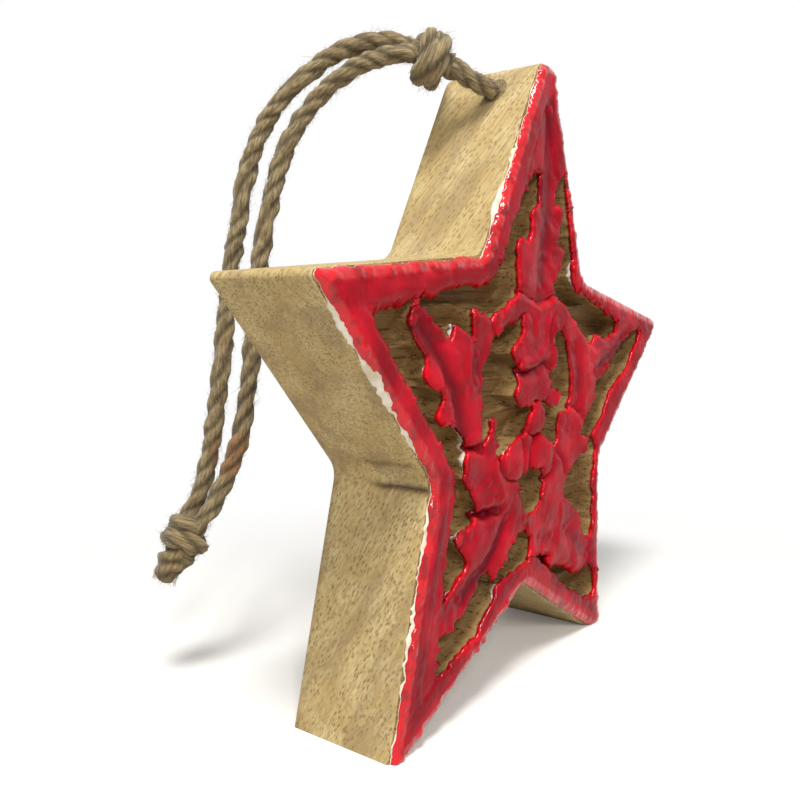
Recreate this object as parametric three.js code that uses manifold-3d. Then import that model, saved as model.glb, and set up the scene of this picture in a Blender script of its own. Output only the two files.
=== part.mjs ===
// A carved wooden star ornament on a jute loop.
// Millimetres, +Z up, the carved front towards -Y, the origin on the floor below the middle of the star.

import * as THREE from "three";
import { mergeVertices } from "three/addons/utils/BufferGeometryUtils.js";
import Module from "manifold-3d";

const wasm = await Module();
wasm.setup();

// The main size: how far a point of the star reaches from its middle. The notches and the relief follow it.
const starReach = 80;

// The plank: its whole thickness, paint included, and the paint on its front
const thickness = 25;
const enamelThickness = 0.8;
const primerThickness = 0.3;

// The front edge is worn to a bevel: how far it reaches in from the outline, and how far back
const edgeWidth = 2.4;
const edgeDrop = 1.2;

// The paint runs over the edge, as far behind the front as this, the primer a little further than the enamel
const enamelWrap = 1.6;
const primerWrap = 2.4;
const enamelWrapThickness = 0.5;
const primerWrapThickness = 0.25;
const wrapGap = 0.1;

// The five points, cut by hand: how far the sharp corner of each misses the main size, and its worn nose
const points = {
  top: { angle: 90, reach: starReach + 2, nose: 4.5 },
  left: { angle: 162, reach: starReach - 3.5, nose: 1.2 },
  lowerLeft: { angle: 234, reach: starReach + 0.5, nose: 1.2 },
  lowerRight: { angle: 306, reach: starReach - 5, nose: 3.4 },
  right: { angle: 18, reach: starReach - 0.5, nose: 2.1 },
};
const noseSteps = 6;

// The five notches between them, a little less than half as far out, with the same fillet
const notchShare = 0.49375;
const notchReach = notchShare * starReach;
const notches = {
  upperLeft: { angle: 126, reach: notchReach - 0.3 },
  lowerLeft: { angle: 198, reach: notchReach },
  bottom: { angle: 270, reach: notchReach - 1 },
  lowerRight: { angle: 342, reach: notchReach },
  upperRight: { angle: 54, reach: notchReach - 1 },
};
const notchFillet = 5;
const notchSteps = 5;

// The star stands on its two lower points, which are worn flat there
const footWear = 1.5;

// The carved well: the rim left round it, its depth, and the rows that the gouge left on its floor
const rimWidth = 6;
const wellDepth = 6.5;
const wellCorner = 0.7;
const gougePitch = 7.5;
const gougeDepth = 1.2;
const gougeSteps = 3;

// The foliage that stands in the well, drawn in the star's own plane as x to the right and z up, for a star
// of this reach, and scaled with the star. A spine is its distance up the midrib and its distance out from it.
const reliefReach = 80;
const reliefScale = starReach / reliefReach;
const hollyLeaves = {
  top: {
    stem: [-1.5, 23],
    tip: [0.5, 65],
    right: [[2, 9], [14, 12], [20.5, 9], [23, 6.4], [30.5, 6.8], [34, 9]],
    left: [[2, 10], [12, 11.5], [21, 6.7], [25.5, 3.4], [27.8, 6.4], [31, 9]],
  },
  left: {
    stem: [-23.5, -6],
    tip: [-48, 21.5],
    right: [[4.5, 6.5], [11, 14.5], [23, 15], [26.5, 8.2], [32, 3.5]],
    left: [[6, 3], [14.7, 8.3], [22.5, 6.3], [32, 3.4]],
  },
  right: {
    stem: [22, -3],
    tip: [54, 22.3],
    right: [[4, 3.5], [9, 3.2], [15, 0.8], [27, 0.8], [36, 1.8]],
    left: [[3, 10.5], [14, 15], [21, 12], [32, 5.2], [33.5, 9]],
  },
  leftSprig: {
    stem: [-10, -15.5],
    tip: [-28.8, -12.8],
    right: [[2, 6.5], [8, 7], [16.3, 4.8]],
    left: [[2, 5.5], [10.7, 6.3], [14, 3]],
  },
  lowerLeft: {
    stem: [-4, -21.5],
    tip: [-37, -38.5],
    right: [[5, 4], [17.5, 8.7], [25.2, 9], [24, 3], [32, 2.4]],
    left: [[5, 5.3], [15.3, 6.8], [31.4, 6.3]],
  },
  lowerRight: {
    stem: [2, -24],
    tip: [41, -39.5],
    right: [[1, 5.8], [14.5, 6.8], [21, 4.2], [33.7, 4.8]],
    left: [[10, 9.1], [17.5, 7.5], [26, 6.8], [33.7, 3.6]],
  },
};
const leafHollow = 0.16;
const leafHollowSteps = 3;

// The bell in the middle, its clapper, the two arches that frame it and the ribbon stubs below them
const bell = [
  [-5.5, 22.5], [-8.2, 18.5], [-12.8, 13], [-8.4, 10.3], [-8.6, 5.4], [-10.9, 3.4], [-6.5, 1.2],
  [0, 1.1], [3.2, 2.8], [6.5, 1.3], [12, 3], [8.2, 8.6], [10.1, 10.6], [8.8, 17.5], [10, 22],
];
const clapper = { centre: [0.8, -1.8], radius: 4.1 };
const arches = {
  left: { centre: [-6.5, 8.5], inner: 11.9, outer: 16.3, from: 80, to: 178 },
  right: { centre: [5.5, 5.5], inner: 13, outer: 19.6, from: -28, to: 98 },
};
const leftStub = [[-20, -0.3], [-15.6, -0.5], [-15.6, -13], [-23, -13], [-21.5, -4.5]];
const rightStub = [
  [11.6, 0.2], [21, 0.2], [25, -3.4], [30, -6.6], [36, -6.4], [36, -8.8], [30, -8.7],
  [24, -10.8], [20, -13.6], [16.8, -19], [6, -19], [8, -8.2], [11.6, -8.6],
];

// The knot of berries below the bell, with an eye cut right down to the floor of the well
const wreath = { centre: [-0.3, -16.8], radius: 12.4 };
const wreathEye = { centre: [-0.2, -17.3], width: 11.4, height: 9.8 };
const berries = {
  left: { centre: [-9.4, -10], radius: 5.6 },
  right: { centre: [5.6, -9.6], radius: 6.2 },
};
const roundSteps = 24;

// The bore that the cord runs through, from side to side below the top point
const boreDiameter = 5;
const boreDrop = 5.6;
const boreForward = 2;

// The jute cord. The routes and the ends of the knots are points from the bore's middle.
const cordDiameter = 4;
const cordGap = 0.3;
const cordSides = 8;
const cordMouth = 0.9;
const cordStraight = 1;
const leftLeadRoute = [[-9.6, 0.5, 0.2], [-11.6, 1.8, 1.1], [-13.1, 3.7, 2.6], [-14.1, 5.4, 3.8]];
const rightLeadRoute = [
  [9.6, 0.6, 0.3], [11.3, 2.7, 1.2], [11.8, 6, 2.6], [11, 9.7, 4.4], [8.6, 13, 6.2], [5, 15.6, 7.8],
  [0.8, 16.8, 8.9], [-3.6, 16, 9.3], [-7.6, 14.2, 8.9], [-11.1, 12.2, 7.9],
];
const outerRoute = [
  [-17.9, 14.1, 8.8], [-20.6, 18.9, 10.2], [-23.2, 23.7, 9.8], [-26, 28.8, 7.9], [-28.9, 32, 4.7],
  [-32, 35.5, 0.8], [-34.7, 38.3, -3.8], [-37.3, 40.7, -9.9], [-39.2, 42, -16.4], [-40.7, 42.8, -23.3],
  [-41.9, 43.3, -30.9], [-43.5, 43.7, -38.7], [-44.7, 43.9, -46.8], [-45.9, 44, -55.5],
  [-47.2, 44.2, -64.3], [-48.4, 44.6, -72.8], [-49.8, 45.4, -81.2], [-51.4, 46.9, -88.2],
  [-52.6, 48.2, -91.5],
];
const innerRoute = [
  [-21.8, 13.4, 6.4], [-23.3, 17.2, 6.1], [-24.9, 22.3, 4.7], [-26.6, 26.7, 2.3], [-28.8, 30.5, -1.2],
  [-31.3, 33.3, -6], [-33.5, 35.4, -11.2], [-35.6, 37, -17.7], [-37.1, 37.8, -24.4], [-38.6, 38.4, -31.6],
  [-39.9, 38.8, -39.2], [-41, 38.9, -46.8], [-41.9, 38.9, -53.9], [-42.9, 38.9, -61.3],
  [-44.2, 39.2, -69.1], [-45.8, 39.8, -76.2], [-47.8, 40.9, -82.5], [-50.3, 42.7, -88.7],
  [-52.5, 44.3, -92.9],
];
const tailRoute = [[-56.6, 49.7, -102.4], [-57.4, 50.5, -104.3], [-58.1, 51.1, -106.3]];

// Each knot is a bundle of wraps round an axis
const throatKnot = { from: [-14.3, 5.7, 4], to: [-19.2, 12.9, 7.4], diameter: 12, wraps: 2 };
const endKnot = { from: [-52.8, 46.5, -93], to: [-56.3, 49.5, -101.9], diameter: 9, wraps: 2 };
const knotShoulder = 0.8;
const wrapSwell = 0.12;
const wrapSteps = 5;
const knotSides = 16;

// Colours, roughness and metalness
const wood = new THREE.MeshStandardMaterial({ color: 0xd9c18a, roughness: 0.75, metalness: 0 });
const primer = new THREE.MeshStandardMaterial({ color: 0xe6e0d2, roughness: 0.9, metalness: 0 });
const enamel = new THREE.MeshStandardMaterial({ color: 0xc01822, roughness: 0.25, metalness: 0 });
const jute = new THREE.MeshStandardMaterial({ color: 0x96825f, roughness: 0.95, metalness: 0 });

// How far a cutting shape runs past what it cuts
const overcut = 1;

const front = -thickness / 2;
const back = thickness / 2;
const primerFront = front + enamelThickness;
const woodFront = primerFront + primerThickness;
const wellFloor = woodFront + wellDepth;

// Plane geometry in the star's own plane

function polar(angle, reach) {
  const turn = THREE.MathUtils.degToRad(angle);
  return new THREE.Vector2(reach * Math.cos(turn), reach * Math.sin(turn));
}

// Where the lines that run a given distance outside of two edges of a corner meet
function offsetCorner(before, corner, after, grow) {
  const edgeIn = corner.clone().sub(before).normalize();
  const edgeOut = after.clone().sub(corner).normalize();
  const normalIn = new THREE.Vector2(edgeIn.y, -edgeIn.x);
  const normalOut = new THREE.Vector2(edgeOut.y, -edgeOut.x);
  const along = (1 - normalIn.dot(normalOut)) / edgeIn.dot(normalOut);
  return corner.clone().addScaledVector(normalIn, grow).addScaledVector(edgeIn, grow * along);
}

// An arc of a given radius that replaces a corner, tangent to both of its edges
function roundCorner(before, corner, after, radius, steps) {
  const toBefore = before.clone().sub(corner).normalize();
  const toAfter = after.clone().sub(corner).normalize();
  const halfAngle = Math.acos(toBefore.dot(toAfter)) / 2;
  const bisector = toBefore.clone().add(toAfter).normalize();
  const centre = corner.clone().addScaledVector(bisector, radius / Math.sin(halfAngle));
  const start = corner.clone().addScaledVector(toBefore, radius / Math.tan(halfAngle)).sub(centre);
  const sweep = Math.sign(toBefore.cross(toAfter)) * (Math.PI - 2 * halfAngle);
  const arc = [];
  for (let step = 0; step <= steps; step += 1) {
    arc.push(start.clone().rotateAround(new THREE.Vector2(), (-sweep * step) / steps).add(centre));
  }
  return arc;
}

// The star's outline, counter-clockwise from its top point, grown outward by a distance or shrunk
function starOutline(grow) {
  const tips = [points.top, points.left, points.lowerLeft, points.lowerRight, points.right];
  const dips = [
    notches.upperLeft, notches.lowerLeft, notches.bottom, notches.lowerRight, notches.upperRight,
  ];
  const sharp = tips.flatMap((tip, i) => [polar(tip.angle, tip.reach), polar(dips[i].angle, dips[i].reach)]);
  const count = sharp.length;
  const grown = sharp.map((corner, i) =>
    offsetCorner(sharp[(i + count - 1) % count], corner, sharp[(i + 1) % count], grow));
  return grown.flatMap((corner, i) => {
    const isTip = i % 2 === 0;
    const radius = isTip ? Math.max(tips[i / 2].nose + grow, wellCorner) : notchFillet - grow;
    const steps = isTip ? noseSteps : notchSteps;
    return roundCorner(grown[(i + count - 1) % count], corner, grown[(i + 1) % count], radius, steps);
  });
}

// The middle of a point's round nose
function noseCentre(point, before, after) {
  const corner = polar(point.angle, point.reach);
  const sides = [polar(before.angle, before.reach), polar(after.angle, after.reach)];
  const [, apex] = roundCorner(sides[0], corner, sides[1], point.nose, 2);
  const outward = corner.clone().sub(apex).normalize();
  return apex.addScaledVector(outward, -point.nose);
}

// How far the star leans, so that both of its lower noses touch the floor
const leftNose = noseCentre(points.lowerLeft, notches.lowerLeft, notches.bottom);
const rightNose = noseCentre(points.lowerRight, notches.bottom, notches.lowerRight);
const noseLine = rightNose.clone().sub(leftNose);
const noseRise = Math.asin((points.lowerRight.nose - points.lowerLeft.nose) / noseLine.length());
const lean = noseLine.angle() - noseRise;

// Places a point of the star's own plane on the floor, centred from side to side
const paintedOutline = starOutline(0).map((p) => p.clone().rotateAround(new THREE.Vector2(), -lean));
const leftmost = Math.min(...paintedOutline.map((p) => p.x));
const rightmost = Math.max(...paintedOutline.map((p) => p.x));
const lowest = Math.min(...paintedOutline.map((p) => p.y));
const highest = Math.max(...paintedOutline.map((p) => p.y));
const standing = new THREE.Vector2(-(leftmost + rightmost) / 2, -lowest - footWear);
function place(point) {
  return point.clone().rotateAround(new THREE.Vector2(), -lean).add(standing);
}
const leftEnd = leftmost + standing.x - overcut;
const rightEnd = rightmost + standing.x + overcut;

// Solids and booleans

function toSolid(geometry) {
  const bare = geometry.clone();
  bare.deleteAttribute("normal");
  bare.deleteAttribute("uv");
  const merged = mergeVertices(bare, 1e-5);
  return new wasm.Manifold(new wasm.Mesh({
    numProp: 3,
    vertProperties: new Float32Array(merged.attributes.position.array),
    triVerts: new Uint32Array(merged.index.array),
  }));
}

function toGeometry(solid) {
  const mesh = solid.getMesh();
  const geometry = new THREE.BufferGeometry();
  geometry.setAttribute("position", new THREE.BufferAttribute(mesh.vertProperties, 3));
  geometry.setIndex(new THREE.BufferAttribute(mesh.triVerts, 1));
  geometry.computeVertexNormals();
  return geometry;
}

// A straight prism over an outline, put in its place vertex by vertex
function prism(outline, placeVertex) {
  const geometry = new THREE.ExtrudeGeometry(new THREE.Shape(outline), { depth: 1, bevelEnabled: false });
  const position = geometry.attributes.position;
  for (let i = 0; i < position.count; i += 1) {
    const [x, y, z] = placeVertex(position.getX(i), position.getY(i), position.getZ(i) > 0.5);
    position.setXYZ(i, x, y, z);
  }
  return toSolid(geometry);
}

// A prism through the thickness of the star, over an outline in the star's own plane
function through(outline, from, to) {
  return prism(outline.map(place), (x, z, isFront) => [x, isFront ? from : to, z]);
}

// A prism from side to side, over an outline of y and z
function across(outline, from, to) {
  return prism(outline, (y, z, isEnd) => [isEnd ? to : from, y, z]);
}

// A slice of the star whose outline changes from its front to its back. Both outlines have as many points.
function bevel(frontOutline, backOutline, from, to) {
  const ahead = frontOutline.map(place);
  const behind = backOutline.map(place);
  const count = behind.length;
  const faces = [];
  for (const [a, b, c] of THREE.ShapeUtils.triangulateShape(behind, [])) {
    faces.push(a, b, c, count + c, count + b, count + a);
  }
  for (let i = 0; i < count; i += 1) {
    const next = (i + 1) % count;
    faces.push(i, count + i, next, next, count + i, count + next);
  }
  const points = [...ahead.map((p) => [p.x, from, p.y]), ...behind.map((p) => [p.x, to, p.y])];
  const geometry = new THREE.BufferGeometry();
  geometry.setAttribute("position", new THREE.Float32BufferAttribute(points.flat(), 3));
  geometry.setIndex(faces);
  return toSolid(geometry);
}

// The star from a given front to its back, with its bevelled front edge
function wornStar(grow, from) {
  const edge = bevel(starOutline(grow - edgeWidth), starOutline(grow), from, from + edgeDrop);
  return edge.add(through(starOutline(grow), from + edgeDrop, back));
}

function ellipse([x, z], width, height) {
  const curve = new THREE.EllipseCurve(x, z, width / 2, height / 2);
  return curve.getPoints(roundSteps).slice(0, roundSteps);
}

// The foliage

// Two neighbouring spines are joined by a shallow hollow curve
function hollowEdge(from, to) {
  const sag = to.clone().sub(from).rotateAround(new THREE.Vector2(), Math.PI / 2).multiplyScalar(leafHollow);
  const edge = [];
  for (let step = 0; step < leafHollowSteps; step += 1) {
    const along = step / leafHollowSteps;
    edge.push(from.clone().lerp(to, along).addScaledVector(sag, 4 * along * (1 - along)));
  }
  return edge;
}

function hollyLeaf({ stem, tip, right, left }) {
  const base = new THREE.Vector2(...stem);
  const point = new THREE.Vector2(...tip);
  const along = point.clone().sub(base).normalize();
  const out = new THREE.Vector2(along.y, -along.x);
  const spine = (side) => ([up, reach]) =>
    base.clone().addScaledVector(along, up).addScaledVector(out, side * reach);
  const spines = [base, ...right.map(spine(1)), point, ...left.map(spine(-1)).reverse()];
  return spines.flatMap((corner, i) => hollowEdge(corner, spines[(i + 1) % spines.length]));
}

function archBand({ centre, inner, outer, from, to }) {
  const band = (radius, start, end) => {
    const turns = [start, end].map(THREE.MathUtils.degToRad);
    return new THREE.EllipseCurve(...centre, radius, radius, ...turns, end < start).getPoints(roundSteps / 2);
  };
  return [...band(outer, from, to), ...band(inner, to, from)];
}

function outlineOf(list) {
  return list.map(([x, z]) => new THREE.Vector2(x, z));
}

function disc({ centre, radius }) {
  return ellipse(centre, 2 * radius, 2 * radius);
}

// Every shape of the relief as one solid, without the eye of the wreath
function foliage(from, to) {
  const scaled = (outline) => outline.map((p) => p.clone().multiplyScalar(reliefScale));
  const outlines = [
    ...Object.values(hollyLeaves).map(hollyLeaf),
    ...Object.values(arches).map(archBand),
    ...[bell, leftStub, rightStub].map(outlineOf),
    ...[clapper, wreath, ...Object.values(berries)].map(disc),
  ];
  const solids = outlines.map((outline) => through(scaled(outline), from, to));
  const eyeOutline = ellipse(wreathEye.centre, wreathEye.width, wreathEye.height);
  const eye = through(scaled(eyeOutline), from - overcut, to + overcut);
  return solids.reduce((all, one) => all.add(one)).subtract(eye);
}

// Everything behind the ridged floor of the well
function gougedFloor() {
  const rows = Math.ceil((highest - lowest) / gougePitch);
  const ridges = [];
  for (let row = 0; row < rows; row += 1) {
    for (let step = 0; step < gougeSteps; step += 1) {
      const along = step / gougeSteps;
      const hollow = gougeDepth * Math.sin(Math.PI * along);
      ridges.push(new THREE.Vector2(wellFloor + hollow - gougeDepth, (row + along) * gougePitch));
    }
  }
  const top = rows * gougePitch;
  const behind = wellFloor + thickness;
  const outline = [new THREE.Vector2(behind, 0), new THREE.Vector2(behind, top), ...ridges.reverse()];
  return across(outline, leftEnd, rightEnd);
}

// The well that is cut away round the foliage, from in front of the star to its floor
const wellFrom = front - overcut;
const wellTo = wellFloor + overcut;
const wholeWell = through(starOutline(-rimWidth), wellFrom, wellTo);
const openWell = wholeWell.subtract(foliage(wellFrom - overcut, wellTo + overcut));
const well = openWell.subtract(gougedFloor());

// Everything that would reach below the floor is worn away
const wearFront = front - overcut;
const wearBack = back + overcut;
const wearBottom = -footWear - overcut;
const wornOutline = [[wearFront, wearBottom], [wearBack, wearBottom], [wearBack, 0], [wearFront, 0]];
const underFloor = across(outlineOf(wornOutline), leftEnd, rightEnd);

// The bore runs level through the top point
const boreMiddle = new THREE.Vector3(
  place(new THREE.Vector2(0, polar(90, highest - boreDrop).y)).x,
  -boreForward,
  highest - lowest - footWear - boreDrop,
);
const boreOutline = ellipse([boreMiddle.y, boreMiddle.z], boreDiameter, boreDiameter);
const bore = across(boreOutline, boreMiddle.x - points.top.reach, boreMiddle.x + points.top.reach);

// The wood lies inside of the two coats that wrap its edge
const woodInset = -(enamelWrapThickness + primerWrapThickness + 2 * wrapGap);
const primerInset = -(enamelWrapThickness + wrapGap);

function starBlock() {
  return wornStar(woodInset, woodFront).subtract(well).subtract(bore).subtract(underFloor);
}

// A coat lies flat on the carved face and folds over the worn edge
function coat(grow, coatFront, coatBack, wrap, wrapThickness) {
  const skin = wornStar(grow, coatFront).subtract(wornStar(grow - wrapThickness, coatBack));
  const beyond = through(starOutline(overcut), front + wrap, back + overcut);
  return skin.subtract(beyond).subtract(openWell).subtract(underFloor);
}

// Half of the width of the top point where the bore passes through it
function boreHalfWidth() {
  const slope = polar(notches.upperLeft.angle, notches.upperLeft.reach);
  const run = points.top.reach - slope.y;
  const drop = points.top.reach - (highest - boreDrop);
  return (-slope.x * drop) / run;
}
const mouth = boreHalfWidth() + cordMouth;

// The cord

// A tube of the cord's thickness along a smooth curve, with a step about every two diameters
function cordTube(route) {
  const curve = new THREE.CatmullRomCurve3(route.map((p) => new THREE.Vector3(...p)));
  const round = new THREE.EllipseCurve(0, 0, cordDiameter / 2, cordDiameter / 2);
  const ring = new THREE.Shape(round.getPoints(cordSides).slice(0, cordSides));
  const steps = Math.max(2, Math.ceil(curve.getLength() / (2 * cordDiameter)));
  return new THREE.ExtrudeGeometry(ring, { steps, extrudePath: curve, bevelEnabled: false });
}

// A knot: side by side wraps turned about the line from its one end to its other
function knotShape({ from, to, diameter, wraps }) {
  const start = new THREE.Vector3(...from);
  const span = new THREE.Vector3(...to).sub(start);
  const length = span.length();
  const profile = [new THREE.Vector2(0, 0)];
  for (let step = 0; step <= wraps * wrapSteps; step += 1) {
    const along = step / (wraps * wrapSteps);
    const hollow = wrapSwell * (1 - Math.abs(Math.sin(Math.PI * wraps * along)));
    const shoulder = step === 0 || step === wraps * wrapSteps ? knotShoulder : 1;
    profile.push(new THREE.Vector2((shoulder * (1 - hollow) * diameter) / 2, length * along));
  }
  profile.push(new THREE.Vector2(0, length));
  const geometry = new THREE.LatheGeometry(profile, knotSides);
  const turn = new THREE.Quaternion().setFromUnitVectors(new THREE.Vector3(0, 1, 0), span.normalize());
  return geometry.applyQuaternion(turn).translate(...from);
}

// The first two points of a lead, straight out of its mouth of the bore
function outOfBore(side) {
  const start = mouth + cordGap;
  return [[side * start, 0, 0], [side * (start + cordStraight), 0, 0]];
}

// The assembly

function piece(name, geometry, material) {
  const mesh = new THREE.Mesh(geometry, material);
  mesh.name = name;
  return mesh;
}

const primerCoat = coat(primerInset, primerFront, woodFront, primerWrap, primerWrapThickness);
const enamelCoat = coat(0, front, primerFront, enamelWrap, enamelWrapThickness);

const star = new THREE.Group();
star.add(
  piece("star_block", toGeometry(starBlock()), wood),
  piece("primer_coat", toGeometry(primerCoat), primer),
  piece("enamel_coat", toGeometry(enamelCoat), enamel),
);

const cord = new THREE.Group();
cord.position.copy(boreMiddle);
cord.add(
  piece("cord_bore_run", cordTube([[-mouth, 0, 0], [0, 0, 0], [mouth, 0, 0]]), jute),
  piece("cord_left_lead", cordTube([...outOfBore(-1), ...leftLeadRoute]), jute),
  piece("cord_right_lead", cordTube([...outOfBore(1), ...rightLeadRoute]), jute),
  piece("throat_knot", knotShape(throatKnot), jute),
  piece("cord_outer_strand", cordTube(outerRoute), jute),
  piece("cord_inner_strand", cordTube(innerRoute), jute),
  piece("end_knot", knotShape(endKnot), jute),
  piece("cord_tail", cordTube(tailRoute), jute),
);

const group = new THREE.Group();
group.add(star, cord);

export default group;
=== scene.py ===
"""Looks of the carved wooden star ornament on its jute loop.

The relief, its paint and the cord are worked out in millimetres and turned into metres when a mesh is made.
"""

import itertools
import math

import bpy
import numpy as np
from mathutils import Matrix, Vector


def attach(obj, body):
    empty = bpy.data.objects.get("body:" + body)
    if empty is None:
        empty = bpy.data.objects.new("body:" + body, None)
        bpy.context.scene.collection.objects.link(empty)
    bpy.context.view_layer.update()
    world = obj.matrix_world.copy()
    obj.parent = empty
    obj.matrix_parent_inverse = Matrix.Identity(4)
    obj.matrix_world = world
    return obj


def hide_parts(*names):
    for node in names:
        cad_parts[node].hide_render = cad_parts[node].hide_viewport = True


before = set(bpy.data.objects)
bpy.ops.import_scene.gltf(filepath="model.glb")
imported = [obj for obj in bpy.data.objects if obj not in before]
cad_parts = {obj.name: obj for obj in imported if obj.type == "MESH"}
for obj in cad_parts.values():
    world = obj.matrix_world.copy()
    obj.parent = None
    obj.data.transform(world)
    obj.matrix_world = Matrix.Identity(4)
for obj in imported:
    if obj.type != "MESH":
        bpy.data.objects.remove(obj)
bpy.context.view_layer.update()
scene = bpy.context.scene
MM = 0.001

# The camera, fitted to the photograph: its place and the direction in which it looks, in metres, and its lens
CAMERA_PLACE = (-0.1648, -0.0974, 0.0812)
CAMERA_AIM = (0.795, 0.597, -0.106)
CAMERA_LENS = 37.2


def aimed(name, data, place, direction):
    """Puts a camera or a light at a place, so that it looks in a direction."""
    thing = bpy.data.objects.new(name, data)
    thing.location = place
    thing.rotation_mode = "QUATERNION"
    thing.rotation_quaternion = Vector(direction).to_track_quat("-Z", "Y")
    scene.collection.objects.link(thing)
    return thing


def make_camera():
    data = bpy.data.cameras.new("camera")
    data.lens = CAMERA_LENS
    data.sensor_width = 36
    data.clip_start = 0.01
    data.clip_end = 20
    scene.camera = aimed("camera", data, CAMERA_PLACE, CAMERA_AIM)


make_camera()

# Small helpers


def smooth(t):
    """Eases from 0 to 1."""
    t = np.clip(t, 0, 1)
    return t * t * (3 - 2 * t)


def bump(distance, width):
    """A rounded ridge that is 1 in its middle."""
    return np.exp(-((distance / width) ** 2))


def around(points, x, z, wide):
    """1 at a place on the star's front, falling to 0 round it."""
    return bump(np.hypot(points[:, 0] - x, points[:, -1] - z), wide)


# The numbers that mix a cell's place, and how many random values they pick from
HASH = (73856093, 19349663, 83492791)
TABLE = 8192


def noise(points, size, seed):
    """Smooth noise from -1 to 1 at points of two or three numbers."""
    table = np.random.default_rng(seed).uniform(-1, 1, TABLE)
    scaled = np.asarray(points) / size + 500.0
    cell = np.floor(scaled).astype(np.int64)
    part = smooth(scaled - cell)
    total = np.zeros(len(scaled))
    for corner in itertools.product((0, 1), repeat=scaled.shape[1]):
        key = np.zeros(len(scaled), np.int64)
        weight = np.ones(len(scaled))
        for axis, step in enumerate(corner):
            key ^= (cell[:, axis] + step) * HASH[axis]
            weight *= part[:, axis] if step else 1 - part[:, axis]
        total += weight * table[key % TABLE]
    return total


def unit(vectors):
    return vectors / np.maximum(np.linalg.norm(vectors, axis=-1, keepdims=True), 1e-9)


def make_mesh(name, points, faces, material=None, shade_smooth=True, **attributes):
    """A mesh object from points in millimetres; faces may mix triangles and quads."""
    mesh = bpy.data.meshes.new(name)
    mesh.from_pydata((np.asarray(points) * MM).tolist(), [], [list(map(int, f)) for f in faces])
    for key, values in attributes.items():
        kind = "FLOAT" if np.ndim(values) == 1 else "FLOAT_VECTOR"
        field = "value" if kind == "FLOAT" else "vector"
        layer = mesh.attributes.new(key, kind, "POINT")
        layer.data.foreach_set(field, np.asarray(values, np.float32).ravel())
    mesh.polygons.foreach_set("use_smooth", [shade_smooth] * len(mesh.polygons))
    mesh.update()
    if material:
        mesh.materials.append(material)
    piece = bpy.data.objects.new(name, mesh)
    scene.collection.objects.link(piece)
    return piece


# Materials


def add(tree, kind, inputs=None, output=0, **settings):
    """A shader node with its inputs set or linked, and the output asked for."""
    node = tree.nodes.new(kind)
    for key, value in settings.items():
        setattr(node, key, value)
    for key, value in (inputs or {}).items():
        if isinstance(value, bpy.types.NodeSocket):
            tree.links.new(value, node.inputs[key])
        else:
            node.inputs[key].default_value = value
    return node.outputs[output]


def mixed(tree, factor, first, second):
    """From the first colour at 0 to the second at 1; either may be the name of a colour."""
    first, second = (tone(c) if isinstance(c, str) else c for c in (first, second))
    return add(tree, "ShaderNodeMix", {0: factor, 6: first, 7: second}, 2, data_type="RGBA")


def ramp(tree, factor, low, high):
    """0 below low, 1 above high."""
    values = {"Value": factor, "From Min": low, "From Max": high}
    return add(tree, "ShaderNodeMapRange", values, interpolation_type="SMOOTHSTEP")


def maths(tree, operation, first, second):
    return add(tree, "ShaderNodeMath", {0: first, 1: second}, operation=operation)


def times(tree, first, second):
    return maths(tree, "MULTIPLY", first, second)


def tinted(tree, colour, tint, factor, share):
    """A colour drawn towards a tint by a share of a factor."""
    return mixed(tree, times(tree, factor, share), colour, tint)


def mapped(tree, vector, scale):
    return add(tree, "ShaderNodeMapping", {"Vector": vector, "Scale": scale})


def along_grain(tree, vector, length, width):
    """Places measured in units of a length along the grain and a width across it, in metres."""
    values = {"Vector": vector, "Scale": (length, width, width), "Rotation": GRAIN_TURN}
    return add(tree, "ShaderNodeMapping", values, vector_type="TEXTURE")


def cloud(tree, vector, scale, detail, roughness=0.55):
    values = {"Vector": vector, "Scale": scale, "Detail": detail, "Roughness": roughness}
    return add(tree, "ShaderNodeTexNoise", values)


def attribute(tree, name, output="Fac"):
    """A number that the mesh carries for each of its points, or a place with the output Vector."""
    return add(tree, "ShaderNodeAttribute", output=output, attribute_name=name)


# Every colour, from 0 to 255
COLOURS = {
    "wood_band_dark": (192, 168, 116), "wood_band_pale": (216, 198, 150), "wood_fibre": (182, 154, 100),
    "wood_streak": (164, 134, 82), "wood_pore": (118, 92, 48), "wood_stain": (150, 128, 92),
    "wood_crack": (66, 44, 22),
    # The well's browns are darkened in part as painted shade of the recess
    "well_dark": (126, 96, 56), "well_pale": (162, 130, 80), "well_line": (70, 48, 24),
    "primer_pale": (240, 234, 220), "primer_stain": (212, 198, 170),
    # The enamel's lit and shaded reds are painted light and painted shade; its sunken and hollow reds are
    # painted shade as well
    "enamel_lit_dark": (200, 0, 18), "enamel_lit_pale": (222, 4, 28), "enamel_shaded_dark": (178, 14, 32),
    "enamel_shaded_pale": (214, 24, 46), "enamel_shade_and_tone": (104, 10, 28), "enamel_mottle": (146, 0, 8),
    "jute_dark": (96, 80, 52), "jute_pale": (172, 154, 114), "jute_patch": (146, 112, 66),
    "jute_rust": (150, 88, 40), "jute_groove_shade": (52, 40, 22),
    "floor_seen": (246, 245, 243), "floor_bounced": (200, 195, 186),
}


def tone(name):
    """A named colour as the shader wants it."""
    share = [c / 255 for c in COLOURS[name]]
    return (*[c / 12.92 if c <= 0.04045 else ((c + 0.055) / 1.055) ** 2.4 for c in share], 1)


def new_material(name, roughness, **settings):
    material = bpy.data.materials.new(name)
    material.use_nodes = True
    tree = material.node_tree
    shader = tree.nodes["Principled BSDF"]
    shader.inputs["Roughness"].default_value = roughness
    for key, value in settings.items():
        shader.inputs[key.replace("_", " ")].default_value = value
    return material, tree, shader


def bumped(tree, shader, height, distance, strength):
    values = {"Strength": strength, "Distance": distance, "Height": height}
    tree.links.new(add(tree, "ShaderNodeBump", values), shader.inputs["Normal"])


def object_place(tree):
    """The place of a point in the part's own frame."""
    return add(tree, "ShaderNodeTexCoord", output="Object")


# The grain runs up and to the front. Its pores are dashes where a face lies along it and dots elsewhere.
GRAIN_TURN = (0, -0.906, -0.761)


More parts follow.
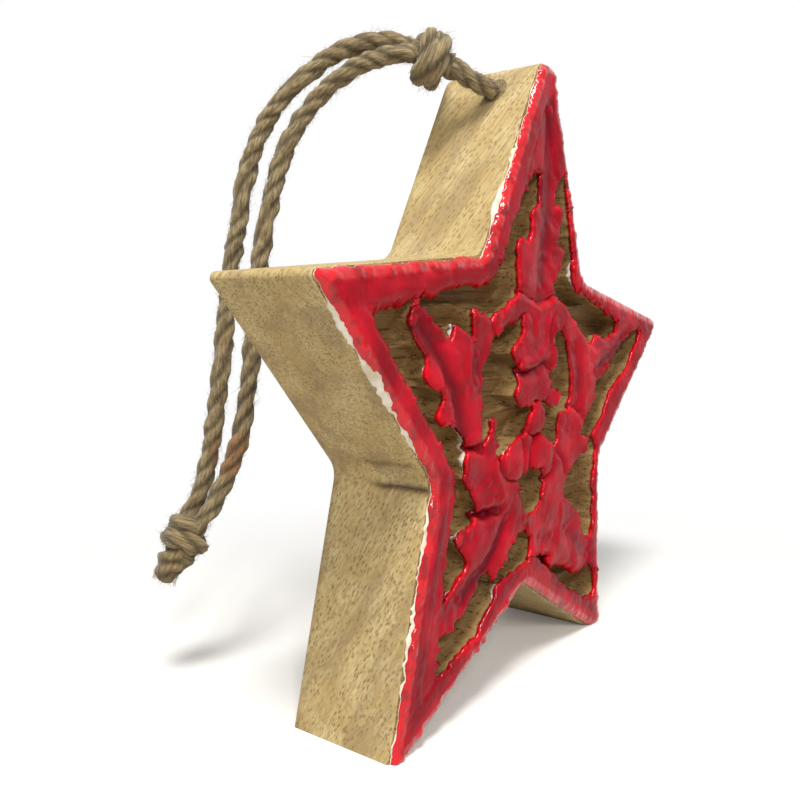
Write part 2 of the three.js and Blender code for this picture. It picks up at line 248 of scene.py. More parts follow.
def wood_material():
    material, tree, shader = new_material("pale_wood", 0.62, Specular_IOR_Level=0.35)
    place = object_place(tree)
    carved = attribute(tree, "carved")

    # Pores, thinner in some patches than in others
    cells = {"Vector": along_grain(tree, place, 0.0016, 0.00058), "Scale": 1.0, "Randomness": 0.85}
    pores = ramp(tree, add(tree, "ShaderNodeTexVoronoi", cells), 0.42, 0.2)
    patchy = times(tree, ramp(tree, cloud(tree, place, 220, 2), 0.3, 0.6), 0.6)
    pores = times(tree, pores, maths(tree, "ADD", patchy, 0.4))

    # Slow colour bands, then fibres, streaks and stains along the grain
    bands = cloud(tree, mapped(tree, place, (18, 120, 120)), 1, 3)
    fibres = cloud(tree, along_grain(tree, place, 0.008, 0.00035), 1, 2)
    streaks = cloud(tree, along_grain(tree, place, 0.006, 0.0007), 1, 2)
    stain = cloud(tree, along_grain(tree, place, 0.03, 0.006), 1, 3)
    colour = mixed(tree, ramp(tree, bands, 0.3, 0.72), "wood_band_dark", "wood_band_pale")
    colour = mixed(tree, ramp(tree, fibres, 0.35, 0.75), colour, "wood_fibre")
    colour = tinted(tree, colour, "wood_streak", ramp(tree, streaks, 0.46, 0.66), 0.5)
    colour = tinted(tree, colour, "wood_pore", pores, 0.6)
    colour = tinted(tree, colour, "wood_stain", ramp(tree, stain, 0.46, 0.66), 0.55)
    colour = tinted(tree, colour, "wood_crack", attribute(tree, "creased"), 0.95)

    # The gouged well is browner than the outer wood, with dark lines along the grain, and darker in part as
    # painted shade of the recess
    lines = cloud(tree, mapped(tree, place, (60, 600, 2200)), 1, 4, 0.7)
    floor = mixed(tree, ramp(tree, bands, 0.3, 0.7), "well_dark", "well_pale")
    floor = mixed(tree, ramp(tree, lines, 0.5, 0.68), floor, "well_line")
    tree.links.new(mixed(tree, carved, colour, floor), shader.inputs["Base Color"])

    relief = maths(tree, "SUBTRACT", times(tree, fibres, 0.5), pores)
    relief = maths(tree, "SUBTRACT", relief, times(tree, lines, carved))
    bumped(tree, shader, relief, distance=0.00012, strength=0.8)
    return material


def primer_material():
    material, tree, shader = new_material("white_primer", 0.78)
    place = object_place(tree)
    stain = ramp(tree, cloud(tree, place, 420, 3), 0.3, 0.75)
    colour = mixed(tree, stain, "primer_pale", "primer_stain")
    tree.links.new(colour, shader.inputs["Base Color"])
    bumped(tree, shader, cloud(tree, place, 2200, 3), distance=0.00008, strength=0.8)
    return material


def enamel_material():
    material, tree, shader = new_material("red_enamel", 0.3, Coat_Roughness=0.06, Specular_IOR_Level=0.1)
    place = object_place(tree)
    thick_and_lit = attribute(tree, "thick_and_lit")
    flat = times(tree, attribute(tree, "level"), maths(tree, "SUBTRACT", 1.0, thick_and_lit))

    # Lit and shaded copies of the red: a brighter red, painted light, where the paint hangs thick over an edge
    # or turns away from the front, and a darker red, painted shade, where it faces the front; darkest, painted
    # shade, in the grooves and dishes and on the rim's flat, with some darker patches
    drift = ramp(tree, cloud(tree, place, 110, 4), 0.34, 0.66)
    lit_red = mixed(tree, drift, "enamel_lit_dark", "enamel_lit_pale")
    shaded_red = mixed(tree, drift, "enamel_shaded_dark", "enamel_shaded_pale")
    colour = mixed(tree, flat, lit_red, shaded_red)
    colour = tinted(tree, colour, "enamel_shade_and_tone", attribute(tree, "sunken"), 0.85)
    # Painted shade of the hollows between the paint's lumps, put in random patches where the paint is thick
    dark_mottle = times(tree, ramp(tree, cloud(tree, place, 330, 1), 0.5, 0.34), thick_and_lit)
    colour = tinted(tree, colour, "enamel_mottle", dark_mottle, 0.8)
    tree.links.new(colour, shader.inputs["Base Color"])

    # Glossy where it is thick, brushed elsewhere
    worn = cloud(tree, place, 260, 3)
    rough = {"Value": worn, "From Min": 0.3, "From Max": 0.7, "To Min": 0.22, "To Max": 0.42}
    tree.links.new(add(tree, "ShaderNodeMapRange", rough), shader.inputs["Roughness"])
    tree.links.new(times(tree, thick_and_lit, 0.8), shader.inputs["Coat Weight"])
    ripples = cloud(tree, mapped(tree, place, (500, 500, 320)), 1, 2)
    bubbles = {"Vector": place, "Scale": 700.0, "Smoothness": 0.7}
    bubbles = add(tree, "ShaderNodeTexVoronoi", bubbles, feature="SMOOTH_F1")
    bubbles = times(tree, bubbles, times(tree, thick_and_lit, -0.9))
    bumped(tree, shader, maths(tree, "ADD", ripples, bubbles), distance=0.0003, strength=0.3)
    return material


# Where the cord is stained with rust, in metres
RUSTY_SPOT = (-0.0442, 0.0383, 0.0503)


def jute_material():
    looks = {"Specular_IOR_Level": 0.2, "Sheen_Weight": 0.25, "Sheen_Roughness": 0.6}
    material, tree, shader = new_material("jute", 0.9, **looks)
    place = object_place(tree)
    streak = cloud(tree, attribute(tree, "fibre", "Vector"), 1.0, 4, 0.65)
    patch = ramp(tree, cloud(tree, place, 130, 2), 0.5, 0.8)
    colour = mixed(tree, ramp(tree, streak, 0.3, 0.72), "jute_dark", "jute_pale")
    colour = tinted(tree, colour, "jute_patch", patch, 0.4)
    apart = add(tree, "ShaderNodeVectorMath", {0: place, 1: RUSTY_SPOT}, "Value", operation="DISTANCE")
    rusty = times(tree, ramp(tree, apart, 0.0075, 0.003), ramp(tree, streak, 0.35, 0.6))
    colour = tinted(tree, colour, "jute_rust", rusty, 0.75)
    # Painted shade in the grooves between the plies
    colour = tinted(tree, colour, "jute_groove_shade", attribute(tree, "furrow"), 0.72)
    tree.links.new(colour, shader.inputs["Base Color"])
    bumped(tree, shader, streak, distance=0.00025, strength=0.9)
    return material


WOOD = wood_material()
PRIMER = primer_material()
ENAMEL = enamel_material()
JUTE = jute_material()

# The cord. The routes are points from the bore's middle, in millimetres.
BORE_MIDDLE = np.array([2.436, -2.0, 129.188])
BORE_MOUTH = 6.6
# Somewhat wider than the solid's bore of 5.0, and the cord inside it thinner, so that a dark gap shows
BORE_DIAMETER = 5.5
BORE_SIDES = 48
DRILL_REACH = 20.0
CORD_DIAMETER = 4.0
LEFT_LEAD = [
    [-6.9, 0, 0], [-7.9, 0, 0], [-9.6, 0.5, 0.2], [-11.6, 1.8, 1.1], [-13.1, 3.7, 2.6], [-14.1, 5.4, 3.8],
]
RIGHT_LEAD = [
    [6.9, 0, 0], [7.9, 0, 0], [9.6, 0.6, 0.3], [11.3, 2.7, 1.2], [11.8, 6, 2.6], [11, 9.7, 4.4],
    [8.6, 13, 6.2], [5, 15.6, 7.8], [0.8, 16.8, 8.9], [-3.6, 16, 9.3], [-7.6, 14.2, 8.9], [-11.1, 12.2, 7.9],
]
OUTER_STRAND = [
    [-17.9, 14.1, 8.8], [-20.6, 18.9, 10.2], [-23.2, 23.7, 9.8], [-26, 28.8, 7.9], [-28.9, 32, 4.7],
    [-32, 35.5, 0.8], [-34.7, 38.3, -3.8], [-37.3, 40.7, -9.9], [-39.2, 42, -16.4], [-40.7, 42.8, -23.3],
    [-41.9, 43.3, -30.9], [-43.5, 43.7, -38.7], [-44.7, 43.9, -46.8], [-45.9, 44, -55.5],
    [-47.2, 44.2, -64.3], [-48.4, 44.6, -72.8], [-49.8, 45.4, -81.2], [-51.4, 46.9, -88.2],
    [-52.6, 48.2, -91.5],
]
INNER_STRAND = [
    [-21.8, 13.4, 6.4], [-23.3, 17.2, 6.1], [-24.9, 22.3, 4.7], [-26.6, 26.7, 2.3], [-28.8, 30.5, -1.2],
    [-31.3, 33.3, -6], [-33.5, 35.4, -11.2], [-35.6, 37, -17.7], [-37.1, 37.8, -24.4], [-38.6, 38.4, -31.6],
    [-39.9, 38.8, -39.2], [-41, 38.9, -46.8], [-41.9, 38.9, -53.9], [-42.9, 38.9, -61.3],
    [-44.2, 39.2, -69.1], [-45.8, 39.8, -76.2], [-47.8, 40.9, -82.5], [-50.3, 42.7, -88.7],
    [-52.5, 44.3, -92.9],
]
# Where each strand ends inside of the end knot, and the ends of the two knots
INTO_KNOT = [[-54.2, 48.6, -95.6], [-54.3, 46.6, -96.8]]
THROAT_KNOT = ([-14.3, 5.7, 4], [-19.2, 12.9, 7.4])
END_KNOT = ([-52.8, 46.5, -93], [-56.3, 49.5, -101.9])
TAIL = [
    [-54.8, 48.2, -98], [-55.9, 49.1, -100.9], [-56.6, 49.7, -102.4], [-57.4, 50.5, -104.3],
    [-58.1, 51.1, -106.3],
]

# The rope: the spacing and the points of its rings, its plies and how far they turn, and its loose fibres
ROPE_STEP = 0.32
ROPE_SIDES = 30
PLIES = 3
PLY_RADIUS = 1.27
PLY_FROM_MIDDLE = 0.74
LAY_LENGTH = 16.5
LAY_DRIFT = 0.9
LUMPS = 0.22
STREAKS = 0.17
FIBRE_RADIUS = 0.045
FIBRE_REACH = (1.0, 3.2)
FIBRES_PER_RING = 8
KNOT_FIBRES = 900


def smooth_route(points, spacing):
    """Evenly spaced points along the smooth curve through the given ones."""
    given = np.array(points, float)
    padded = np.vstack([2 * given[0] - given[1], given, 2 * given[-1] - given[-2]])
    t = np.linspace(0, 1, 24, endpoint=False)[:, None]
    parts = []
    for a, b, c, d in zip(padded, padded[1:], padded[2:], padded[3:]):
        curve = 2 * b + (c - a) * t + (2 * a - 5 * b + 4 * c - d) * t**2 + (3 * b - a - 3 * c + d) * t**3
        parts.append(curve / 2)
    fine = np.vstack([*parts, given[-1]])
    arc = np.concatenate([[0], np.cumsum(np.linalg.norm(np.diff(fine, axis=0), axis=1))])
    even = np.linspace(0, arc[-1], max(4, int(arc[-1] / spacing)))
    return np.stack([np.interp(even, arc, fine[:, k]) for k in range(3)], 1), even


def frames_along(line):
    """The tangents of a line and two directions across it that don't twist round it."""
    tangents = unit(np.gradient(line, axis=0))
    across = np.empty_like(line)
    start = np.cross(tangents[0], [0.3, 0.2, 0.93])
    across[0] = start / np.linalg.norm(start)
    for i in range(1, len(line)):
        step = across[i - 1] - tangents[i] * (across[i - 1] @ tangents[i])
        across[i] = step / np.linalg.norm(step)
    return tangents, across, np.cross(tangents, across)


def rope_mesh(route, seed, swell=1.0):
    """The points, faces, attributes and middle line of a rope of twisted plies.

    Its thickness is multiplied by swell, a number or a function of the share of its length.
    """
    line, arc = smooth_route(route, ROPE_STEP)
    tangents, across, beside = frames_along(line)
    turn = np.linspace(0, 2 * math.pi, ROPE_SIDES, endpoint=False)
    lay = 2 * math.pi * arc / LAY_LENGTH
    lay = lay + LAY_DRIFT * noise(np.stack([arc, 0 * arc], 1), 9.0, seed + 2)
    from_ply = (turn[None, :] - lay[:, None]) * PLIES
    off_ply = (np.mod(from_ply + math.pi, 2 * math.pi) - math.pi) / PLIES
    radius = np.sqrt(PLY_RADIUS**2 - (PLY_FROM_MIDDLE * np.sin(off_ply)) ** 2)
    radius = PLY_FROM_MIDDLE * np.cos(off_ply) + radius
    count = len(line)
    round_it = np.tile(np.stack([np.cos(turn), np.sin(turn)], 1), (count, 1))
    spread = np.column_stack([np.repeat(arc, ROPE_SIDES), round_it])
    lumps = noise(spread * [1, 2.5, 2.5] + seed, 2.6, seed).reshape(count, -1)
    streaks = noise(spread / [5, 0.5, 0.5], 0.32, seed + 1).reshape(count, -1)
    radius = radius * (1 + LUMPS * lumps) + STREAKS * streaks
    radius = radius * (swell(arc / arc[-1])[:, None] if callable(swell) else swell)
    offset = np.cos(turn)[None, :, None] * across[:, None] + np.sin(turn)[None, :, None] * beside[:, None]
    points = (line[:, None] + radius[..., None] * offset).reshape(-1, 3)
    ring = np.arange(ROPE_SIDES)
    nxt = (ring + 1) % ROPE_SIDES
    base = np.arange(count - 1)[:, None] * ROPE_SIDES
    quads = np.stack([base + ring, base + nxt, base + ROPE_SIDES + nxt, base + ROPE_SIDES + ring], -1)
    faces = quads.reshape(-1, 4)[:, ::-1].tolist()
    ends = [line[0] - tangents[0] * 0.4, line[-1] + tangents[-1] * 0.4]
    first, last = len(points), len(points) + 1
    points = np.vstack([points, ends])
    tail = (count - 1) * ROPE_SIDES
    faces += [[first, int(a), int(b)] for a, b in zip(ring, nxt)]
    faces += [[last, int(tail + b), int(tail + a)] for a, b in zip(ring, nxt)]
    fibre = spread * [0.45, 4.5, 4.5]
    # Painted shade: darker where the plies meet in their grooves
    furrow = smooth(np.abs(off_ply) / (math.pi / PLIES) * 1.5 - 0.5).ravel()
    fibre = np.vstack([fibre, fibre[:2]])
    furrow = np.concatenate([furrow, [0, 0]])
    return points, faces, {"fibre": fibre, "furrow": furrow}, line


def joined(parts):
    """Several meshes as one list of points, faces and attributes."""
    points = np.vstack([p[0] for p in parts])
    faces = []
    start = 0
    for part in parts:
        faces += [[i + start for i in face] for face in part[1]]
        start += len(part[0])
    return points, faces, {key: np.concatenate([p[2][key] for p in parts]) for key in parts[0][2]}


def fuzz_mesh(line, radius, count, seed, reach=FIBRE_REACH):
    """Loose fibres that stand off a rope's surface, each a thin tapering sliver with three sides."""
    rng = np.random.default_rng(seed)
    tangents, across, beside = frames_along(line)
    points, faces = [], []
    for _ in range(count):
        i = rng.integers(0, len(line))
        turn = rng.uniform(0, 2 * math.pi)
        out = math.cos(turn) * across[i] + math.sin(turn) * beside[i]
        run = tangents[i] * rng.choice([-1, 1])
        side = np.cross(out, run) * rng.normal(0, 0.5)
        length = rng.uniform(*reach) * rng.uniform(0.4, 1)
        lift = rng.uniform(0.05, 0.95)
        curl = rng.normal(0, 0.35, 3)
        root = line[i] + out * (radius - 0.35)
        start = len(points)
        for k, t in enumerate((0, 0.35, 0.7, 1)):
            middle = root + (run + side + out * lift) * t * length * 0.7 + curl * (t * length) ** 2 * 0.12
            width = FIBRE_RADIUS * (1 - 0.75 * t)
            for corner in range(3):
                a = corner * 2 * math.pi / 3
                points.append(middle + width * (math.cos(a) * out + math.sin(a) * np.cross(run, out)))
            if k:
                low = start + (k - 1) * 3
                faces += [[low + c, low + (c + 1) % 3, low + 3 + (c + 1) % 3, low + 3 + c] for c in range(3)]
        faces += [[start + 2, start + 1, start], [start + 9, start + 10, start + 11]]
    points = np.array(points)
    return points, faces, {"fibre": points * 0.3 + 7, "furrow": np.zeros(len(points))}


def at_bore(points):
    return np.asarray(points, float) + BORE_MIDDLE


def jute_piece(name, parts, *nodes):
    points, faces, attributes = joined(parts)
    piece = make_mesh(name, points, faces, JUTE, **attributes)
    if nodes:
        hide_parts(*nodes)
    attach(piece, "loop")
    return piece


# How far the first and the last wrap lie from the ends of a knot, and the points of one turn
WRAP_INSET = 1.9
TURN_STEPS = 14


def knot_wraps(ends, radius, turns, first_angle, lean):
    """The path of a cord wound round the line between two points, its ends tucked inside."""
    start, end = at_bore(ends[0]), at_bore(ends[1])
    axis = end - start
    length = np.linalg.norm(axis)
    axis = axis / length
    side = unit(np.cross(axis, [0.2, 0.1, 0.97]))
    other = np.cross(axis, side)
    t = np.linspace(0, 1, int(turns * TURN_STEPS))
    tuck = smooth(np.minimum(t, 1 - t) * turns * 2.6)
    reach = radius * (0.35 + 0.65 * tuck)
    angle = 2 * math.pi * turns * t + first_angle
    along = WRAP_INSET + (length - 2 * WRAP_INSET) * t + lean * np.cos(angle)
    places = ((along, axis), (reach * np.cos(angle), side), (reach * np.sin(angle), other))
    return start + sum(far[:, None] * direction for far, direction in places)


def frayed(share):
    """How much thicker the tail is with its spread fibres, from the knot to its end."""
    return 1.45 + 0.2 * np.sin(math.pi * share) - 0.6 * share**6


def make_cords():
    left = smooth_route(at_bore([*LEFT_LEAD, *OUTER_STRAND, INTO_KNOT[0]]), 2.0)[0]
    right = smooth_route(at_bore([*RIGHT_LEAD, *INNER_STRAND, INTO_KNOT[1]]), 2.0)[0]
    bore_run = at_bore([[-BORE_MOUTH - 0.3, 0, 0], [0, 0, 0], [BORE_MOUTH + 0.3, 0, 0]])
    jute_piece("bore_cord", [rope_mesh(bore_run, seed=3, swell=0.8)[:3]], "cord_bore_run")

    throat_path = knot_wraps(THROAT_KNOT, radius=4.0, turns=2.25, first_angle=11, lean=1.1)
    throat_core = rope_mesh(at_bore(THROAT_KNOT), seed=13, swell=1.25)
    throat_wrap = rope_mesh(throat_path, seed=14, swell=1.08)
    throat = jute_piece("throat_knot_wraps", [throat_core[:3], throat_wrap[:3]], "throat_knot")

    end_path = knot_wraps(END_KNOT, radius=3.0, turns=2.0, first_angle=21, lean=0.9)
    end_wrap = rope_mesh(end_path, seed=22, swell=1.16)
    tail = rope_mesh(at_bore(TAIL), seed=24, swell=frayed)
    end = jute_piece("end_knot_wraps", [end_wrap[:3], tail[:3]], "end_knot", "cord_tail")

    made = []
    for name, route, seed, nodes, knots in (
        ("loop_cord", left, 31, ("cord_left_lead", "cord_outer_strand"), [throat, end]),
        ("return_cord", right, 41, ("cord_right_lead", "cord_inner_strand"), []),
    ):
        points, faces, attributes, line = rope_mesh(route, seed)
        cord = jute_piece(name, [(points, faces, attributes)], *nodes)
        fibres = fuzz_mesh(line, CORD_DIAMETER / 2, FIBRES_PER_RING * len(line), seed + 1)
        fuzz = jute_piece(name + "_fibres", [fibres])
        length = np.linalg.norm(np.diff(line, axis=0), axis=1).sum() * MM
        made.append((cord, line, float(length), [*knots, fuzz]))
    knot_fibres = [
        fuzz_mesh(smooth_route(throat_path, ROPE_STEP)[0], 2.1, KNOT_FIBRES, 51),
        fuzz_mesh(smooth_route(end_path, ROPE_STEP)[0], 2.3, KNOT_FIBRES, 52),
        fuzz_mesh(smooth_route(at_bore(TAIL), 0.3)[0], 2.7, KNOT_FIBRES, 53, (0.8, 2.6)),
    ]
    knot_fuzz = jute_piece("knot_fibres", knot_fibres)
    made[0][3].append(knot_fuzz)


make_cords()

# The star. Its outlines are drawn in its own plane, x to the right and z up, in millimetres from its centre.
# It leans by an angle in radians, with its centre at STANDING.
LEAN = 0.0685852
STANDING = (-2.357, 59.243)
THICKNESS = 25.0
# The angle, reach and nose radius of each point, and the angle and reach of each notch
POINTS = [(90, 82, 4.5), (162, 76.5, 1.2), (234, 80.5, 1.2), (306, 75, 3.4), (18, 79.5, 2.1)]
NOTCHES = [(126, 39.2), (198, 39.5), (270, 38.5), (342, 39.5), (54, 38.5)]
NOTCH_FILLET = 5.0
CORNER_STEPS = 8

# The rim, the gouged well inside of it, and the foliage that stands in the well
RIM_WIDTH = 6.0
WELL_DEPTH = 6.5
WELL_CORNER = 0.7
GOUGE_PITCH = 7.5
GOUGE_DEPTH = 2.8
FOLIAGE_DROP = 0.35
EDGE_SOFT = 0.6
SLOPE_WIDTH = 1.7
SLOPE_DEPTH = 2.3
# How far from the walls of the foliage and the rim distances are still worked out
PLATEAU = 6.0

# The worn front edge, the back edge, and how dark they are with handling
EDGE_WIDTH = 2.4
EDGE_DROP = 1.2
BACK_ROUND = 0.6
BACK_INSET = 0.03
WEAR = 0.28

# The mesh: its grid, how far from the edge it ends, how it crowds at the walls, and its shortest cut
GRID = 0.42
BORDER = 0.25
SQUEEZE = 0.4
SLIVER = 1e-4

# The coats: the wood lies deeper than the front by PAINT_DEPTH
PAINT_DEPTH = 0.65
PRIMER_THICKNESS = 0.15
ENAMEL_THICKNESS = 0.45
COAT_OVERLAP = 0.12
THINNEST_COAT = 0.1

# The pockets between the foliage and the rim, and the eye of the wreath, as outlines of x and z
POCKETS = {
    "left": [
        (-56.5, 20), (-51.5, 21.4), (-46.8, 21.8), (-46.2, 19.2), (-46.8, 18), (-45.6, 15.2), (-44, 12.8),
        (-41.4, 11), (-41.8, 8.8), (-42.2, 6.2), (-39.8, 5), (-37, 4.4), (-36.2, 3.4), (-38.3, 0.2),
        (-36.7, -1.4), (-33, -2), (-29, -3), (-26.6, -4.6), (-26, -6.2), (-27.2, -9.2), (-26.6, -10.8),
        (-27.8, -13), (-26.2, -14.4), (-24.2, -15.6), (-22.6, -17.6), (-21, -19.4), (-21.4, -21.6),
        (-23.8, -22.4), (-26.2, -23.2), (-29.4, -24), (-28.8, -25.6), (-26.6, -27.6), (-24.6, -30),
        (-27, -31.8), (-29, -33.2), (-31.8, -34.8), (-32.4, -36.2), (-32.6, -34.4), (-32.1, -30),
        (-31.5, -24.8), (-30.9, -21.6), (-30.1, -18.8), (-30, -14), (-30.2, -11.2), (-33.6, -7.6),
        (-35.7, -4.8), (-39.3, -2.2), (-41.5, 0.8), (-47.8, 7.1), (-54.4, 14), (-57.3, 16.8),
    ],
    "upper_left": [
        (-43.8, 22.4), (-42.9, 23.6), (-39.3, 24), (-34.5, 25.6), (-29.6, 27), (-20.6, 28.2), (-18.1, 29.6),
        (-16.1, 33.2), (-12.8, 38.8), (-9.4, 44), (-6.8, 48.4), (-5.5, 50.4), (-3.8, 51.6), (-1.4, 51.4),
        (-1.2, 50), (-0.8, 48), (-0.6, 46), (-1.8, 45.4), (-4.6, 44.4), (-5.2, 42.8), (-5, 40), (-4.6, 37.4),
        (-8.6, 37), (-9.8, 36.4), (-10.8, 34.8), (-10.4, 32.8), (-10, 30), (-9.4, 27.5), (-8.8, 26),
        (-9.8, 25), (-12.2, 23.8), (-13.8, 22.8), (-17.8, 21.2), (-19.4, 19.4), (-24.2, 20.6), (-26.2, 21.5),
        (-26.9, 20.4), (-26.8, 18), (-26.2, 15.4), (-28.2, 16.2), (-31.4, 17.6), (-33.8, 18.8),
        (-33.6, 16.8), (-34.2, 14.8), (-36.6, 16.4), (-40.2, 18.8), (-43.2, 20.6),
    ],
    "left_of_bell": [
        (-6.2, 19.8), (-5.8, 21), (-7.8, 21.2), (-9.8, 20.8), (-13, 19.6), (-15.8, 17.2), (-17.4, 14.8),
        (-19, 11.2), (-20.2, 8.8), (-19.5, 7.4), (-20.6, 4.8), (-20.8, 2), (-21, -1.6), (-20.4, -4.8),
        (-19.2, -5.4), (-18.2, -3.2), (-18.8, -0.6), (-15, -0.6), (-14.4, -2), (-15.2, -3), (-15, -6),
        (-14.6, -9.4), (-11.8, -8.6), (-10.6, -7.2), (-8.6, -6), (-5.8, -5.2), (-3, -4.8), (-2.2, -3.8),
        (-2.1, -2), (-1.6, 0), (-0.2, 1.2), (-1.8, 1), (-5.8, 1), (-8.6, 2.4), (-9.4, 3.6), (-7.4, 5.6),
        (-8, 7.2), (-7.2, 9.2), (-7.2, 10.4), (-8.6, 11), (-10.8, 11.8), (-11.6, 12.8), (-10.2, 13.8),
        (-7.8, 15.6), (-6.2, 17.6), (-6, 18.4),
    ],
    "right_of_bell": [
        (11, 18.6), (12.6, 18.4), (14.2, 16.8), (15.8, 14.8), (17.4, 12), (18.6, 8), (19.2, 4.8), (19, 2),
        (18, 0.2), (15.2, 0.2), (13.6, -0.4), (13.2, -4), (13.2, -6.8), (11.6, -8.4), (8.2, -6.8), (6, -5.6),
        (6.2, -3.2), (5.6, -0.8), (4.6, 1), (4.2, 2), (6.2, 1.4), (9.4, 1), (12.2, 1.8), (13.4, 2.6),
        (12.2, 3.6), (10.6, 5.2), (9.4, 7.2), (9.8, 8.8), (11.8, 10), (12, 12.4), (11, 14), (10.2, 16.8),
    ],
    "upper_right": [
        (9.2, 52.8), (8.3, 52), (7.8, 50.4), (7.2, 48), (6.6, 46), (9, 45.8), (10.2, 44.8), (9.8, 42.8),
        (9.4, 40.8), (8.6, 39.2), (8.2, 37.6), (10.6, 37.6), (12.4, 37), (12.2, 36), (11.4, 34), (10.2, 32),
        (9, 30), (7.8, 28.4), (8.2, 26.8), (9.4, 26), (12.2, 25.2), (16.2, 23.6), (21, 20.4), (25, 18.4),
        (26.6, 17.2), (28.2, 16.4), (30.2, 17.2), (31, 18.4), (32.2, 19), (35.4, 18.4), (37.8, 18),
        (40.2, 18.8), (42.2, 19.6), (44.6, 20.4), (43.8, 22), (40.7, 23.6), (35.5, 24.4), (27.4, 26.4),
        (19.5, 28), (16.7, 29), (15.6, 32), (15.6, 34), (14.5, 37.2), (13.5, 40), (12.6, 44), (11.8, 47.2),
        (10.6, 50), (9.6, 52.6),
    ],
    "right": [
        (26.2, -6), (27.4, -3.4), (29, -1.6), (31, -0.2), (32.2, 0.8), (32.6, 2.4), (33.8, 4.8), (35.4, 7),
        (38.6, 8.4), (41, 9.6), (44.2, 12), (48.2, 14.8), (52.2, 18), (55.2, 20.2), (58.1, 21), (60.3, 20.2),
        (58.7, 18), (56.2, 16), (53.8, 12.8), (50.2, 9.6), (46.2, 7.2), (42.2, 4.4), (40.2, 1.6),
        (38.2, -1.6), (34.2, -4.4), (32.2, -6), (30.6, -6.8), (28.2, -6.4),
    ],
    "lower_right": [
        (32, -7.6), (33.8, -8.8), (33.5, -12.4), (33, -18), (33.7, -22), (34, -26), (34.4, -30), (34.1, -32),
        (32.8, -32.4), (31.2, -31.6), (29.6, -29.6), (29, -27.2), (27.2, -25.2), (23.2, -23.2), (20, -21.2),
        (18, -19.8), (19.2, -17.6), (21.6, -14.8), (24.4, -12.8), (27.2, -11.2), (30, -9.2),
    ],
    "bottom_right": [
        (4.6, -32.8), (8.8, -33.6), (12, -34.4), (13.6, -35.6), (19.2, -36), (22.4, -36.8), (25.2, -38),
        (29.2, -39.6), (33.2, -40.8), (35.7, -41.6), (37.2, -43.2), (37.7, -46), (36.8, -48.8),
        (32.5, -48.4), (28.5, -46.4), (22.4, -44), (18.5, -41.6), (14.5, -39.2), (10.8, -36.4), (8, -34.8),
    ],
    "bottom": [
        (-0.8, -27), (0.8, -28.4), (2.5, -29.4), (1.8, -30.8), (1.3, -32), (1.4, -32.8), (-0.4, -33.4),
        (-4.2, -34), (-8.6, -34.8), (-11.8, -36), (-12.6, -35.2), (-10.2, -32.8), (-7.8, -30.8), (-5.4, -28),
        (-2.6, -26.4),
    ],
    "lower_left": [
        (-32.2, -43), (-28.6, -42.4), (-27, -41.2), (-24.6, -40), (-21.4, -37.6), (-19, -35.6),
        (-17.8, -34.4), (-15.8, -33.8), (-14.2, -35.6), (-12.8, -36.8), (-13.6, -38.8), (-16.2, -40.8),
        (-18.5, -42.8), (-20.6, -44.8), (-24.5, -46.4), (-28.4, -48), (-32.2, -49.8), (-34, -49.2),
        (-33.4, -46.8), (-33, -44.4),
    ],
    "wreath_eye": [
        (-3.8, -14.4), (-1.8, -13.6), (1.8, -13), (5, -13.6), (6.6, -15.6), (6.4, -19.2), (4.6, -22),
        (1.4, -23), (-1.4, -22), (-3, -19.2), (-4.8, -16),
    ],
}

